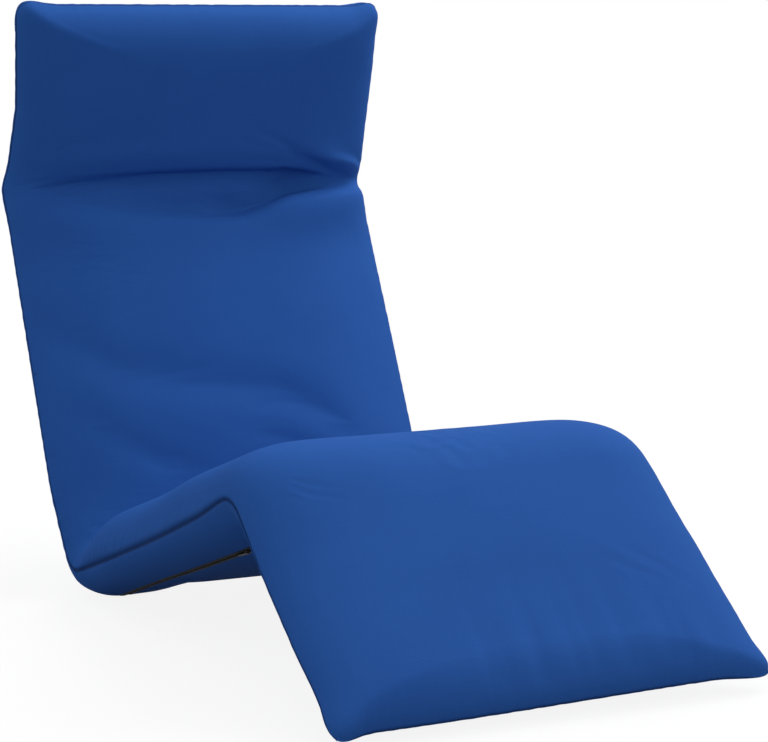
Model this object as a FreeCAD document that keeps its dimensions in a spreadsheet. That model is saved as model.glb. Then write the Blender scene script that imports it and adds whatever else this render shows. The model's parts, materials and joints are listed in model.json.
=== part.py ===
import FreeCAD, Part
import math
import os
import types

import Sketcher

# Folding floor lounger: four padded sections on a hinged steel frame.
# Lengths are in millimetres and angles in degrees. The width runs along X, the head
# lies toward +Y, the foot toward -Y, and Z points up from the floor.
# Each section is drawn lying along its own Y, with its hinge line along X.

Vector = FreeCAD.Vector
DOC = FreeCAD.newDocument("lounger")
SHEET = DOC.addObject("Spreadsheet::Sheet", "Sizes")

SIZES = (
    # the padded sections, measured from hinge line to hinge line or to the free end
    ("pad_width", "560", "width of every padded section"),
    ("pad_thickness", "104", "thickness of every padded section"),
    ("top_round", "48", "rounding of the upper long edges"),
    ("under_round", "28", "rounding of the lower long edges"),
    ("corner_round", "62", "rounding of the free corners seen from above"),
    ("seat_length", "585", "hip line to knee line"),
    ("back_length", "560", "hip line to neck line"),
    ("head_length", "269", "neck line to head end"),
    ("leg_length", "357", "knee line to foot end"),
    ("leg_swell", "18", "rise of the leg's upper side between its ends"),
    ("leg_belly", "12", "rise of the leg's lower side between its ends"),
    ("seat_sag", "8", "fall of the seat's upper side at its middle"),
    ("seat_roll", "10", "rise of the seat's upper side near the hip line"),
    ("roll_place", "85", "hip line to the top of that rise"),
    ("floor_press", "2", "how far the floor flattens the pads"),
    # the pose that is shown
    ("hip_opening", "95.7", "angle between seat and back"),
    ("neck_opening", "139", "angle between back and head"),
    ("knee_opening", "123.5", "angle between seat and leg"),
    # the clicks of each hinge
    ("hip_click", "12", "angle of one hip tooth"),
    ("hip_fold_clicks", "5", "clicks from the shown pose to folded"),
    ("hip_open_clicks", "7", "clicks from the shown pose to flat"),
    ("neck_click", "13.5", "angle of one neck tooth"),
    ("neck_fold_clicks", "2", "clicks from the shown pose to folded"),
    ("neck_open_clicks", "3", "clicks from the shown pose to straight"),
    ("knee_click", "14", "angle of one knee tooth"),
    ("knee_fold_clicks", "6", "clicks from the shown pose to folded"),
    ("knee_open_clicks", "4", "clicks from the shown pose to straight"),
    ("fold_relief", "0.5", "angle kept free between two folded sections"),
    # fabric and foam
    ("cover_thickness", "1.5", "thickness of the fabric cover"),
    ("cover_gap", "0.4", "room between cover and foam"),
    ("frame_room", "0.6", "room between foam and frame"),
    ("hinge_line_relief", "0.6", "radius left free along each hinge line"),
    # tubes
    ("rail_inset", "60", "edge of a pad to the middle of a side rail"),
    ("tube_radius", "9.5", "outer radius of the side tubes"),
    ("tube_wall", "1.2", "wall of every tube"),
    ("cross_radius", "8", "outer radius of the cross tubes"),
    ("cope_gap", "0.05", "room at the coped end of a cross tube"),
    ("bend_radius", "55", "bend radius of the end hoops"),
    ("hoop_inset", "60", "free end of a pad to the hoop's centre line"),
    ("cross_inset", "101", "hinge line to a cross tube"),
    # sockets of the hinge arms
    ("arm_reach", "46", "hinge line to the socket floor"),
    ("socket_floor", "2", "thickness of the socket floor"),
    ("socket_depth", "34", "depth of a tube socket"),
    ("socket_wall", "1.6", "wall of a tube socket"),
    ("socket_gap", "0.1", "room between tube and socket"),
    ("end_gap", "0.3", "room between tube end and socket floor"),
    ("stud_reach", "66", "hinge line to the socket rivet"),
    ("stud_radius", "2", "shank radius of a socket rivet"),
    ("stud_head_radius", "3.6", "head radius of a socket rivet"),
    ("stud_head", "1.4", "head height of a socket rivet"),
    # ratchet hinges
    ("gear_radius", "21", "outer radius of the toothed plate"),
    ("gear_thickness", "6", "thickness of the toothed plate"),
    ("gear_arm_width", "14", "width of the toothed plate's arm"),
    ("tooth_depth", "2.4", "depth of a tooth gap"),
    ("gap_floor", "0.45", "half width of a tooth gap at its floor"),
    ("gap_mouth", "2.2", "half width of a tooth gap past the rim"),
    ("rim_over", "1", "how far the gap outline passes the rim"),
    ("cheek_radius", "24", "radius of the hinge cheeks"),
    ("cheek_thickness", "2", "thickness of one cheek"),
    ("side_gap", "0.3", "room between toothed plate and cheek"),
    ("case_arm_width", "22", "width of the case's arm"),
    ("web_thickness", "6", "web that joins the two cheeks"),
    ("pivot_radius", "4", "shank radius of the pivot"),
    ("pivot_gap", "0.05", "running room of pivot and pins"),
    ("pivot_head_radius", "7", "head radius of the pivot"),
    ("pivot_head", "2.4", "head height of the pivot"),
    ("pin_along", "23", "pawl pin along the arm"),
    ("pin_out", "19", "pawl pin out from the arm's middle"),
    ("pin_radius", "2.5", "shank radius of the pawl pin"),
    ("pin_head_radius", "4.4", "head radius of the pawl pin"),
    ("pin_head", "1.5", "head height of the pawl pin"),
    ("ear_wall", "2", "case left around the pawl's boss"),
    ("pawl_thickness", "5.6", "thickness of the pawl"),
    ("pawl_boss", "5.5", "radius of the pawl around its pin"),
    ("pawl_lift", "9", "angle that lifts the pawl out of the teeth"),
    ("nose_gap", "0.35", "room under the pawl's nose"),
    ("nose_tip", "0.2", "half width of the nose at its tip"),
    ("nose_root", "1.85", "half width of the nose at its root"),
    ("nose_length", "3.65", "length of the nose"),
    ("heel_length", "2.9", "length of the pawl behind its nose"),
    ("spring_width", "5", "width of the leaf spring"),
    ("spring_leaf", "0.7", "thickness of the leaf spring"),
    ("spring_rise", "10.4", "root of the leaf above the arm's middle"),
    ("spring_run", "6.2", "web to the bend of the leaf"),
    ("spring_drop", "0.8", "fall of the leaf from its root to its bend"),
    ("spring_touch", "4.4", "tip of the leaf above the arm's middle"),
    ("spring_gap", "0.6", "room between the leaf's tip and the pawl's boss"),
    # support straps
    ("strap_width", "50", "width of a support strap"),
    ("leg_strap_width", "36", "width of a support strap of the leg"),
    ("strap_thickness", "3", "thickness of a support strap"),
    ("strap_gap", "0.05", "room between strap and tube"),
    ("strap_inset", "145", "hinge line to the nearest strap"),
    ("strap_count", "4", "straps of the seat and of the back"),
    ("leg_strap_count", "2", "straps of the leg"),
    ("strap_clear", "10", "strap of the leg to the hoop's bend"),
    # zip fastener under the seat
    ("zip_inset", "62", "edge of the seat to the middle of the zip"),
    ("zip_start", "40", "hip line to the zip"),
    ("zip_length", "390", "length of the zip"),
    ("zip_width", "14", "width of the zip tape"),
    ("zip_thickness", "1.2", "thickness of the zip tape"),
    ("slider_length", "13", "length of the slider"),
    ("slider_width", "8", "width of the slider"),
    ("slider_height", "2.6", "height of the slider"),
    ("pull_length", "24", "length of the slider's pull"),
    ("pull_width", "6", "width of the slider's pull"),
    ("pull_thickness", "1.2", "thickness of the slider's pull"),
    ("pull_hole", "1.6", "radius of the hole in the pull"),
)


class Size:
    """A number together with the sheet expression that gives it."""

    def __init__(self, value, text):
        self.value = float(value)
        self.text = text

    def __add__(self, other):
        other = as_size(other)
        return Size(self.value + other.value, f"({self.text} + {other.text})")

    def __sub__(self, other):
        other = as_size(other)
        return Size(self.value - other.value, f"({self.text} - {other.text})")

    def __mul__(self, other):
        other = as_size(other)
        return Size(self.value * other.value, f"({self.text} * {other.text})")

    def __neg__(self):
        return Size(-self.value, f"(0 - {self.text})")


def as_size(number):
    """Give a plain number the form of a sheet size."""
    if isinstance(number, Size):
        return number
    text = f"{abs(number):.6g}"
    if number < 0:
        text = f"(0 - {text})"
    return Size(number, text)


def fill_sheet():
    """Write every size to the sheet and return them by name."""
    named = types.SimpleNamespace()
    for row, (alias, text, note) in enumerate(SIZES, start=1):
        SHEET.set(f"A{row}", note)
        SHEET.set(f"B{row}", text)
        SHEET.setAlias(f"B{row}", alias)
        setattr(named, alias, Size(text, f"Sizes.{alias}"))
    DOC.recompute()
    return named


size = fill_sheet()
ZERO = as_size(0)

# shares that keep an outline's corner inside the round that it joins, and a rivet head's form
SHOULDER = 0.92
HEAD_CROWN = 0.72
HEAD_EDGE = 0.45
# upright share of a side's normal that makes it an upper or lower side, and a length that counts as none
LEVEL_FACE = 0.9
NEAR = 0.01

# sizes that follow from others
half_pad = size.pad_thickness * 0.5
rail_x = size.pad_width * 0.5 - size.rail_inset
rail_spacing = rail_x * 2
socket_bore = size.tube_radius + size.socket_gap
socket_radius = socket_bore + size.socket_wall
tube_start = size.arm_reach + size.socket_floor + size.end_gap
slot_width = size.gear_thickness + size.side_gap * 2
case_width = slot_width + size.cheek_thickness * 2
pivot_bore = size.pivot_radius + size.pivot_gap
pin_bore = size.pin_radius + size.pivot_gap
stud_bore = size.stud_radius + size.pivot_gap
tooth_floor = size.gear_radius - size.tooth_depth
nose_start = tooth_floor + size.nose_gap
nose_end = nose_start + size.nose_length
ear_side = size.pin_along + size.pawl_boss + size.ear_wall
ear_top = size.pin_out + size.pawl_boss + size.ear_wall
through = size.pad_thickness
strap_inner = size.tube_radius + size.strap_gap
strap_outer = strap_inner + size.strap_thickness
stud_top = socket_radius + size.pivot_gap + size.stud_head
core_half = max(stud_top.value, strap_outer.value) + size.frame_room.value
core_width = rail_x.value + core_half


# Frames of the sections


def along(start, angle, length):
    """Point at a length from start, in the direction of an angle from +Y toward +Z."""
    turn = math.radians(angle)
    return (start[0] + length * math.cos(turn), start[1] + length * math.sin(turn))


def frame_at(point, angle, across=0.0):
    """Placement with its origin at a (y, z) point and its Y turned by an angle."""
    turn = FreeCAD.Rotation(Vector(1, 0, 0), angle)
    return FreeCAD.Placement(Vector(across, point[0], point[1]), turn)


def seat_slope():
    """Rise of the seat that lets the hip bend and the foot end both press on the floor."""
    opening = math.radians(size.knee_opening.value)
    round_end = size.under_round.value
    flat = half_pad.value - round_end
    reach = size.leg_length.value - round_end
    level = size.seat_length.value - reach * math.cos(opening) - flat * math.sin(opening)
    upright = flat * math.cos(opening) - reach * math.sin(opening)
    turn = math.asin(-flat / math.hypot(level, upright)) - math.atan2(upright, level)
    return math.degrees(turn)


seat_angle = 180 - seat_slope()
back_angle = seat_angle - size.hip_opening.value
head_angle = back_angle + 180 - size.neck_opening.value
leg_angle = seat_angle + 180 - size.knee_opening.value


def hinge_points(hip_y):
    """Points of the hip, neck and knee lines and of the foot end for a hip position."""
    hip = (hip_y, half_pad.value - size.floor_press.value)
    neck = along(hip, back_angle, size.back_length.value)
    knee = along(hip, seat_angle, size.seat_length.value)
    foot = along(knee, leg_angle, size.leg_length.value)
    return hip, neck, knee, foot


def centred_hip():
    """Hip position that puts the middle of the length at Y zero."""
    _, neck, _, foot = hinge_points(0.0)
    rear = neck[0] + half_pad.value
    centre = along(foot, leg_angle, -size.top_round.value)
    flat = half_pad.value - size.top_round.value
    centre = along(centre, leg_angle - 90, flat)
    front = centre[0] - size.top_round.value
    return -(rear + front) / 2


HIP, NECK, KNEE, FOOT = hinge_points(centred_hip())


class Hinge:
    """One hinge line: where it is and which way its two arms point."""

    def __init__(self, name, point, parent_angle, child_angle):
        self.name = name
        self.point = point
        self.parent_angle = parent_angle
        self.child_angle = child_angle
        self.opening = getattr(size, f"{name}_opening")
        self.click = getattr(size, f"{name}_click")
        self.fold_clicks = getattr(size, f"{name}_fold_clicks")
        self.open_clicks = getattr(size, f"{name}_open_clicks")
        self.folded = self.opening - self.click * self.fold_clicks

    def half_rest(self):
        """Half of the opening in the pose shown."""
        return self.opening.value / 2

    def half_folded(self):
        """Half of the opening when folded, less the angle kept free."""
        return self.folded.value / 2 - size.fold_relief.value


hip_hinge = Hinge("hip", HIP, seat_angle, back_angle)
neck_hinge = Hinge("neck", NECK, back_angle + 180, head_angle)
knee_hinge = Hinge("knee", KNEE, seat_angle + 180, leg_angle)


class Section:
    """One padded section: its frame, its upper side and the hinges at its two ends."""

    def __init__(
        self, name, length, origin, angle, top, start, start_inner, end, end_inner, upper=(), lower=()
    ):
        self.name = name
        self.length = length
        self.frame = frame_at(origin, angle)
        self.top = top
        self.start = start
        self.start_inner = start_inner
        self.end = end
        self.end_inner = end_inner
        self.swells = {top: upper, -top: lower}


seat_top = ((size.roll_place, size.seat_roll), (size.seat_length * 0.5, -size.seat_sag))
leg_top = ((size.leg_length * 0.5, size.leg_swell),)
leg_under = ((size.leg_length * 0.5, size.leg_belly),)
seat = Section("seat", size.seat_length, HIP, seat_angle, -1, hip_hinge, -1, knee_hinge, 1, seat_top)
back = Section("back", size.back_length, HIP, back_angle, 1, hip_hinge, 1, neck_hinge, 1)
head = Section("head", size.head_length, NECK, head_angle, 1, neck_hinge, 1, None, 0)
leg = Section("leg", size.leg_length, KNEE, leg_angle, -1, knee_hinge, 1, None, 0, leg_top, leg_under)
SECTIONS = (head, back, seat, leg)

FINISHED = []


def finished(thing, label):
    """Label an object as a finished piece."""
    thing.Label = label
    FINISHED.append(thing)
    return thing


# Sketched bodies


class Outline:
    """A sketch on one of a body's own planes, with every size tied to the sheet."""

    def __init__(self, body, name, role, offset=None, turn=None):
        self.sketch = body.newObject("Sketcher::SketchObject", name)
        planes = [thing for thing in body.Origin.OriginFeatures if thing.Role == role]
        self.sketch.AttachmentSupport = [(planes[0], "")]
        self.sketch.MapMode = "FlatFace"
        if offset is not None:
            self.sketch.setExpression("AttachmentOffset.Base.z", offset.text)
        if turn is not None:
            spin = FreeCAD.Rotation(Vector(0, 0, 1), turn.value)
            self.sketch.AttachmentOffset = FreeCAD.Placement(Vector(), spin)
            self.sketch.setExpression("AttachmentOffset.Rotation.Angle", turn.text)

    def tie(self, constraint, amount):
        """Add a constraint and tie its value to the sheet."""
        index = self.sketch.addConstraint(constraint)
        self.sketch.setExpression(f"Constraints[{index}]", amount.text)

    def tie_point(self, edge, end, x, y):
        """Tie one point's two coordinates."""
        self.tie(Sketcher.Constraint("DistanceX", -1, 1, edge, end, x.value), x)
        self.tie(Sketcher.Constraint("DistanceY", -1, 1, edge, end, y.value), y)

    def circle(self, x, y, radius):
        """Add a circle."""
        x, y = as_size(x), as_size(y)
        centre = Vector(x.value, y.value, 0)
        edge = self.sketch.addGeometry(Part.Circle(centre, Vector(0, 0, 1), radius.value))
        self.tie_point(edge, 3, x, y)
        self.tie(Sketcher.Constraint("Radius", edge, radius.value), radius)
        return self

    def polygon(self, points):
        """Add a closed outline of straight edges."""
        points = [(as_size(x), as_size(y)) for x, y in points]
        count = len(points)
        edges = []
        for index in range(count):
            first, last = points[index], points[(index + 1) % count]
            low = Vector(first[0].value, first[1].value, 0)
            high = Vector(last[0].value, last[1].value, 0)
            edges.append(self.sketch.addGeometry(Part.LineSegment(low, high)))
        for index in range(count):
            join = ("Coincident", edges[index], 2, edges[(index + 1) % count], 1)
            self.sketch.addConstraint(Sketcher.Constraint(*join))
        for edge, (x, y) in zip(edges, points):
            self.tie_point(edge, 1, x, y)
        return self

    def racetrack(self, half_length, radius):
        """Add a long round-ended loop that lies along the first sketch direction."""
        reach, turn = half_length.value, radius.value
        up = Vector(0, 0, 1)
        right = Part.Circle(Vector(reach, 0, 0), up, turn)
        left = Part.Circle(Vector(-reach, 0, 0), up, turn)
        quarter = math.pi / 2
        right_arc = self.sketch.addGeometry(Part.ArcOfCircle(right, -quarter, quarter))
        left_arc = self.sketch.addGeometry(Part.ArcOfCircle(left, quarter, 3 * quarter))
        upper = Part.LineSegment(Vector(reach, turn, 0), Vector(-reach, turn, 0))
        lower = Part.LineSegment(Vector(-reach, -turn, 0), Vector(reach, -turn, 0))
        upper_line = self.sketch.addGeometry(upper)
        lower_line = self.sketch.addGeometry(lower)
        self.tie_point(right_arc, 3, half_length, ZERO)
        self.tie_point(left_arc, 3, -half_length, ZERO)
        self.tie(Sketcher.Constraint("Radius", right_arc, turn), radius)
        self.tie(Sketcher.Constraint("Radius", left_arc, turn), radius)
        joins = (
            (right_arc, 2, upper_line, 1),
            (upper_line, 2, left_arc, 1),
            (left_arc, 2, lower_line, 1),
            (lower_line, 2, right_arc, 1),
        )
        for join in joins:
            self.sketch.addConstraint(Sketcher.Constraint("Tangent", *join))
        return self

    def hoop(self, half_width, start, end, radius):
        """Add an open path up one side, across and down the other side."""
        wide, low, high, turn = half_width.value, start.value, end.value, radius.value
        up = Vector(0, 0, 1)
        quarter = math.pi / 2
        first_bend = Part.Circle(Vector(wide - turn, high - turn, 0), up, turn)
        last_bend = Part.Circle(Vector(turn - wide, high - turn, 0), up, turn)
        pieces = (
            Part.LineSegment(Vector(wide, low, 0), Vector(wide, high - turn, 0)),
            Part.ArcOfCircle(first_bend, 0, quarter),
            Part.LineSegment(Vector(wide - turn, high, 0), Vector(turn - wide, high, 0)),
            Part.ArcOfCircle(last_bend, quarter, 2 * quarter),
            Part.LineSegment(Vector(-wide, high - turn, 0), Vector(-wide, low, 0)),
        )
        edges = [self.sketch.addGeometry(piece) for piece in pieces]
        for before, after in zip(edges, edges[1:]):
            self.sketch.addConstraint(Sketcher.Constraint("Tangent", before, 2, after, 1))
        self.sketch.addConstraint(Sketcher.Constraint("Vertical", edges[0]))
        self.sketch.addConstraint(Sketcher.Constraint("Horizontal", edges[2]))
        self.sketch.addConstraint(Sketcher.Constraint("Vertical", edges[4]))
        self.tie_point(edges[0], 1, half_width, start)
        self.tie_point(edges[4], 2, -half_width, start)
        self.tie(Sketcher.Constraint("DistanceY", -1, 1, edges[2], 1, high), end)
        self.tie(Sketcher.Constraint("Radius", edges[1], turn), radius)
        self.tie(Sketcher.Constraint("Radius", edges[3], turn), radius)
        return self


class SketchedBody:
    """A body grown from outlines; every feature takes its length from the sheet."""

    def __init__(self, name):
        self.name = name
        self.body = DOC.addObject("PartDesign::Body", name)
        self.count = 0

    def outline(self, role, offset=None, turn=None):
        """Start a new outline on one of the body's planes."""
        self.count += 1
        return Outline(self.body, f"{self.name}_outline_{self.count}", role, offset, turn)

    def feature(self, kind, outline):
        """Add a feature made from an outline."""
        step = self.body.newObject(f"PartDesign::{kind}", f"{self.name}_step_{self.count}")
        step.Profile = outline.sketch
        return step

    def pad(self, outline, length, reverse=False):
        """Raise an outline, about its own plane unless reversed."""
        step = self.feature("Pad", outline)
        step.Midplane = not reverse
        step.Reversed = reverse
        step.setExpression("Length", length.text)
        return step

    def pocket(self, outline, length):
        """Cut an outline out, about its own plane."""
        step = self.feature("Pocket", outline)
        step.Midplane = True
        step.setExpression("Length", length.text)
        return step

    def revolve(self, outline):
        """Turn an outline about the first sketch direction."""
        step = self.feature("Revolution", outline)
        step.ReferenceAxis = (outline.sketch, ["H_Axis"])
        step.Angle = 360
        return step

    def around(self, original, angle, count):
        """Repeat a feature about the body's X axis."""
        step = self.body.newObject("PartDesign::PolarPattern", f"{self.name}_pattern")
        step.Originals = [original]
        axes = [thing for thing in self.body.Origin.OriginFeatures if thing.Role == "X_Axis"]
        step.Axis = (axes[0], [""])
        step.setExpression("Angle", angle.text)
        step.setExpression("Occurrences", count.text)
        self.body.Tip = step
        return step

    def place(self, frame):
        """Put the body in its frame."""
        self.body.Placement = frame
        return self.body


def group(label, members):
    """Join several like pieces as one finished set."""
    compound = DOC.addObject("Part::Compound", label)
    compound.Links = members
    return finished(compound, label)


def box_points(low_x, low_y, high_x, high_y):
    """Corners of a rectangle."""
    return [(low_x, low_y), (high_x, low_y), (high_x, high_y), (low_x, high_y)]


# Hinge pieces


def add_socket(made):
    """Add the tube socket that ends a hinge arm, with its rivet hole."""
    floor = made.outline("XZ_Plane", -size.arm_reach).circle(0, 0, socket_radius)
    made.pad(floor, size.socket_floor, reverse=True)
    start = size.arm_reach + size.socket_floor
    ring = made.outline("XZ_Plane", -start)
    ring.circle(0, 0, socket_radius).circle(0, 0, socket_bore)
    made.pad(ring, size.socket_depth, reverse=True)
    hole = made.outline("XY_Plane").circle(0, size.stud_reach, stud_bore)
    made.pocket(hole, through)


def make_case(label, frame):
    """Fixed half of a hinge: two cheeks, a web and a tube socket."""
    made = SketchedBody(label)
    made.pad(made.outline("YZ_Plane").circle(0, 0, size.cheek_radius), case_width)
    ear = [(0, 0), (ear_side, 0), (ear_side, size.pin_out), (size.pin_along, ear_top)]
    ear.append((0, size.cheek_radius * SHOULDER))
    made.pad(made.outline("YZ_Plane").polygon(ear), case_width)
    half_arm = size.case_arm_width * 0.5
    arm = box_points(0, -half_arm, size.arm_reach, half_arm)
    made.pad(made.outline("YZ_Plane").polygon(arm), case_width)
    add_socket(made)
    wide = ear_top + size.cheek_radius
    slot = box_points(-wide, -wide, size.arm_reach - size.web_thickness, wide)
    made.pocket(made.outline("YZ_Plane").polygon(slot), slot_width)
    bores = made.outline("YZ_Plane").circle(0, 0, pivot_bore)
    bores.circle(size.pin_along, size.pin_out, pin_bore)
    made.pocket(bores, through)
    return finished(made.place(frame), label)


def make_gear(label, hinge, frame):
    """Turning half of a hinge: a toothed plate with an arm and a tube socket."""
    made = SketchedBody(label)
    made.pad(made.outline("YZ_Plane").circle(0, 0, size.gear_radius), size.gear_thickness)
    half_arm = size.gear_arm_width * 0.5
    arm = box_points(0, -half_arm, size.arm_reach + size.socket_floor, half_arm)
    made.pad(made.outline("YZ_Plane").polygon(arm), size.gear_thickness)
    add_socket(made)
    bore = made.outline("YZ_Plane").circle(0, 0, pivot_bore)
    made.pocket(bore, through)
    rim = size.gear_radius + size.rim_over
    gap = [
        (tooth_floor, -size.gap_floor),
        (rim, -size.gap_mouth),
        (rim, size.gap_mouth),
        (tooth_floor, size.gap_floor),
    ]
    outline = made.outline("YZ_Plane", turn=hinge.folded).polygon(gap)
    cut = made.pocket(outline, size.gear_thickness * 2)
    clicks = hinge.fold_clicks + hinge.open_clicks
    made.around(cut, hinge.click * clicks, clicks + 1)
    return finished(made.place(frame), label)


def make_pawl(label, frame):
    """Pawl drawn in a tooth gap, then lifted clear about its pin."""
    made = SketchedBody(label)
    boss = made.outline("YZ_Plane").circle(size.pin_along, size.pin_out, size.pawl_boss)
    made.pad(boss, size.pawl_thickness)
    heel = nose_end + size.heel_length
    shoulder = size.pawl_boss * SHOULDER
    nose = [
        (nose_start, -size.nose_tip),
        (nose_end, -size.nose_root),
        (heel, -size.nose_root),
        (size.pin_along + shoulder, size.pin_out),
        (size.pin_along - shoulder, size.pin_out),
        (nose_end, size.nose_root),
        (nose_start, size.nose_tip),
    ]
    made.pad(made.outline("YZ_Plane").polygon(nose), size.pawl_thickness)
    bore = made.outline("YZ_Plane").circle(size.pin_along, size.pin_out, pin_bore)
    made.pocket(bore, through)
    pin = Vector(0, size.pin_along.value, size.pin_out.value)
    lift = FreeCAD.Rotation(Vector(1, 0, 0), size.pawl_lift.value)
    lifted = FreeCAD.Placement(Vector(), lift, pin)
    return finished(made.place(frame.multiply(lifted)), label)


def make_spring(label, frame):
    """Leaf spring from the case's web to the back of the lifted pawl."""
    made = SketchedBody(label)
    root = size.arm_reach - size.web_thickness
    tip = size.pin_along + size.pawl_boss + size.spring_gap
    bend = root - size.spring_run
    fall = size.spring_rise - size.spring_drop
    leaf = [
        (root, size.spring_rise),
        (bend, fall),
        (tip, size.spring_touch),
        (tip + size.spring_leaf, size.spring_touch - size.spring_leaf * 0.5),
        (bend + size.spring_leaf, fall - size.spring_leaf),
        (root, size.spring_rise - size.spring_leaf),
    ]
    made.pad(made.outline("YZ_Plane").polygon(leaf), size.spring_width)
    return made.place(frame)


def make_rivet(name, grip, radius, head_radius, head_height, frame):
    """Two-headed rivet along X, turned about its own axis."""
    made = SketchedBody(name)
    half = grip * 0.5
    crown = head_radius * HEAD_CROWN
    edge = half + head_height * HEAD_EDGE
    profile = [
        (-(half + head_height), 0),
        (half + head_height, 0),
        (half + head_height, crown),
        (edge, head_radius),
        (half, head_radius),
        (half, radius),
        (-half, radius),
        (-half, head_radius),
        (-edge, head_radius),
        (-(half + head_height), crown),
    ]
    made.revolve(made.outline("XY_Plane").polygon(profile))
    return made.place(frame)


def make_hinge(hinge):
    """All pieces of the left and right hinge on one hinge line."""
    springs, rivets = [], []
    for side, sign in (("left", 1), ("right", -1)):
        across = sign * rail_x.value
        fixed = frame_at(hinge.point, hinge.parent_angle, across)
        turning = frame_at(hinge.point, hinge.child_angle, across)
        make_case(f"{hinge.name}_case_{side}", fixed)
        make_gear(f"{hinge.name}_gear_{side}", hinge, turning)
        make_pawl(f"{hinge.name}_pawl_{side}", fixed)
        springs.append(make_spring(f"{hinge.name}_spring_{side}", fixed))
        grip = case_width + size.pivot_gap * 2
        shape = (size.pivot_radius, size.pivot_head_radius, size.pivot_head)
        rivets.append(make_rivet(f"{hinge.name}_pivot_{side}", grip, *shape, fixed))
        shift = Vector(0, size.pin_along.value, size.pin_out.value)
        pin_frame = fixed.multiply(FreeCAD.Placement(shift, FreeCAD.Rotation()))
        shape = (size.pin_radius, size.pin_head_radius, size.pin_head)
        rivets.append(make_rivet(f"{hinge.name}_pin_{side}", grip, *shape, pin_frame))
    group(f"{hinge.name}_springs", springs)
    group(f"{hinge.name}_pins", rivets)


# Frame tubes


def make_rail(section, side, sign):
    """Straight side rail between two hinge sockets."""
    label = f"{section.name}_rail_{side}"
    made = SketchedBody(label)
    ring = made.outline("XZ_Plane", -tube_start)
    ring.circle(0, 0, size.tube_radius).circle(0, 0, size.tube_radius - size.tube_wall)
    made.pad(ring, section.length - tube_start * 2, reverse=True)
    holes = made.outline("XY_Plane").circle(0, size.stud_reach, stud_bore)
    holes.circle(0, section.length - size.stud_reach, stud_bore)
    made.pocket(holes, through)
    shift = FreeCAD.Placement(Vector(sign * rail_x.value, 0, 0), FreeCAD.Rotation())
    return finished(made.place(section.frame.multiply(shift)), label)


def make_hoop(section):
    """Hoop that runs up one side of an end section, across it and back."""
    label = f"{section.name}_hoop"
    made = SketchedBody(label)
    reach = section.length - size.hoop_inset
    path = made.outline("XY_Plane").hoop(rail_x, tube_start, reach, size.bend_radius)
    bore = size.tube_radius - size.tube_wall
    for kind, radius in (("AdditivePipe", size.tube_radius), ("SubtractivePipe", bore)):
        ring = made.outline("XZ_Plane", -tube_start).circle(rail_x, 0, radius)
        sweep = made.feature(kind, ring)
        sweep.Spine = (path.sketch, [f"Edge{number}" for number in range(1, 6)])
    holes = made.outline("XY_Plane").circle(rail_x, size.stud_reach, stud_bore)
    holes.circle(-rail_x, size.stud_reach, stud_bore)
    made.pocket(holes, through)
    return finished(made.place(section.frame), label)


def rod(name, radius, length, frame):
    """Plain round bar, centred in its frame, along the frame's Z."""
    bar = DOC.addObject("Part::Cylinder", name)
    bar.setExpression("Radius", radius.text)
    bar.setExpression("Height", length.text)
    middle = FreeCAD.Placement(Vector(0, 0, -length.value / 2), FreeCAD.Rotation())
    bar.Placement = frame.multiply(middle)
    return bar


def cut_from(name, base, tool):
    """Take one solid from another."""
    result = DOC.addObject("Part::Cut", name)
    result.Base = base
    result.Tool = tool
    return result


def make_cross(section, label, reach):
    """Cross tube between the side tubes, with both ends coped to them."""
    sideways = FreeCAD.Rotation(Vector(0, 1, 0), 90)
    lengthways = FreeCAD.Rotation(Vector(1, 0, 0), 90)
    middle = section.frame.multiply(FreeCAD.Placement(Vector(0, reach, 0), sideways))
    bar = rod(f"{label}_bar", size.cross_radius, rail_spacing, middle)
    bore = rod(f"{label}_bore", size.cross_radius - size.tube_wall, rail_spacing, middle)
    tube = cut_from(f"{label}_tube", bar, bore)
    cope = size.tube_radius + size.cope_gap
    for side, sign in (("left", 1), ("right", -1)):
        spot = FreeCAD.Placement(Vector(sign * rail_x.value, reach, 0), lengthways)
        tool_frame = section.frame.multiply(spot)
        tool = rod(f"{label}_cope_{side}", cope, size.cross_radius * 4, tool_frame)
        tube = cut_from(f"{label}_cut_{side}", tube, tool)
    return finished(tube, label)


def make_studs(section):
    """Rivets that hold the section's tubes in the hinge sockets."""
    reaches = [size.stud_reach.value]
    if section.end is not None:
        reaches.append(section.length.value - size.stud_reach.value)
    upright = FreeCAD.Rotation(Vector(0, 1, 0), -90)
    grip = (socket_radius + size.pivot_gap) * 2
    members = []
    for side, sign in (("left", 1), ("right", -1)):
        for number, reach in enumerate(reaches, start=1):
            spot = FreeCAD.Placement(Vector(sign * rail_x.value, reach, 0), upright)
            name = f"{section.name}_stud_{side}_{number}"
            shape = (size.stud_radius, size.stud_head_radius, size.stud_head)
            members.append(make_rivet(name, grip, *shape, section.frame.multiply(spot)))
    return group(f"{section.name}_studs", members)


def make_straps(section, width, number, end):
    """Support straps looped around the two side tubes, spread from an inset to an end."""
    count = int(number.value)
    start = size.strap_inset.value + width.value / 2
    pitch = (end.value - width.value / 2 - start) / (count - 1)
    members = []
    for index in range(count):
        name = f"{section.name}_strap_{index + 1}"
        made = SketchedBody(name)
        loop = made.outline("XZ_Plane").racetrack(rail_x, strap_outer)
        loop.racetrack(rail_x, strap_inner)
        made.pad(loop, width)
        spot = FreeCAD.Placement(Vector(0, start + index * pitch, 0), FreeCAD.Rotation())
        members.append(made.place(section.frame.multiply(spot)))
    return group(f"{section.name}_straps", members)


# Foam and fabric


def rounding(amount, inset):
    """Rounding of a pad's edge at an inset, limited by half of the pad's thickness."""
    limit = half_pad.value - 2 * size.hinge_line_relief.value
    return min(amount.value, limit) - inset


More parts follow.
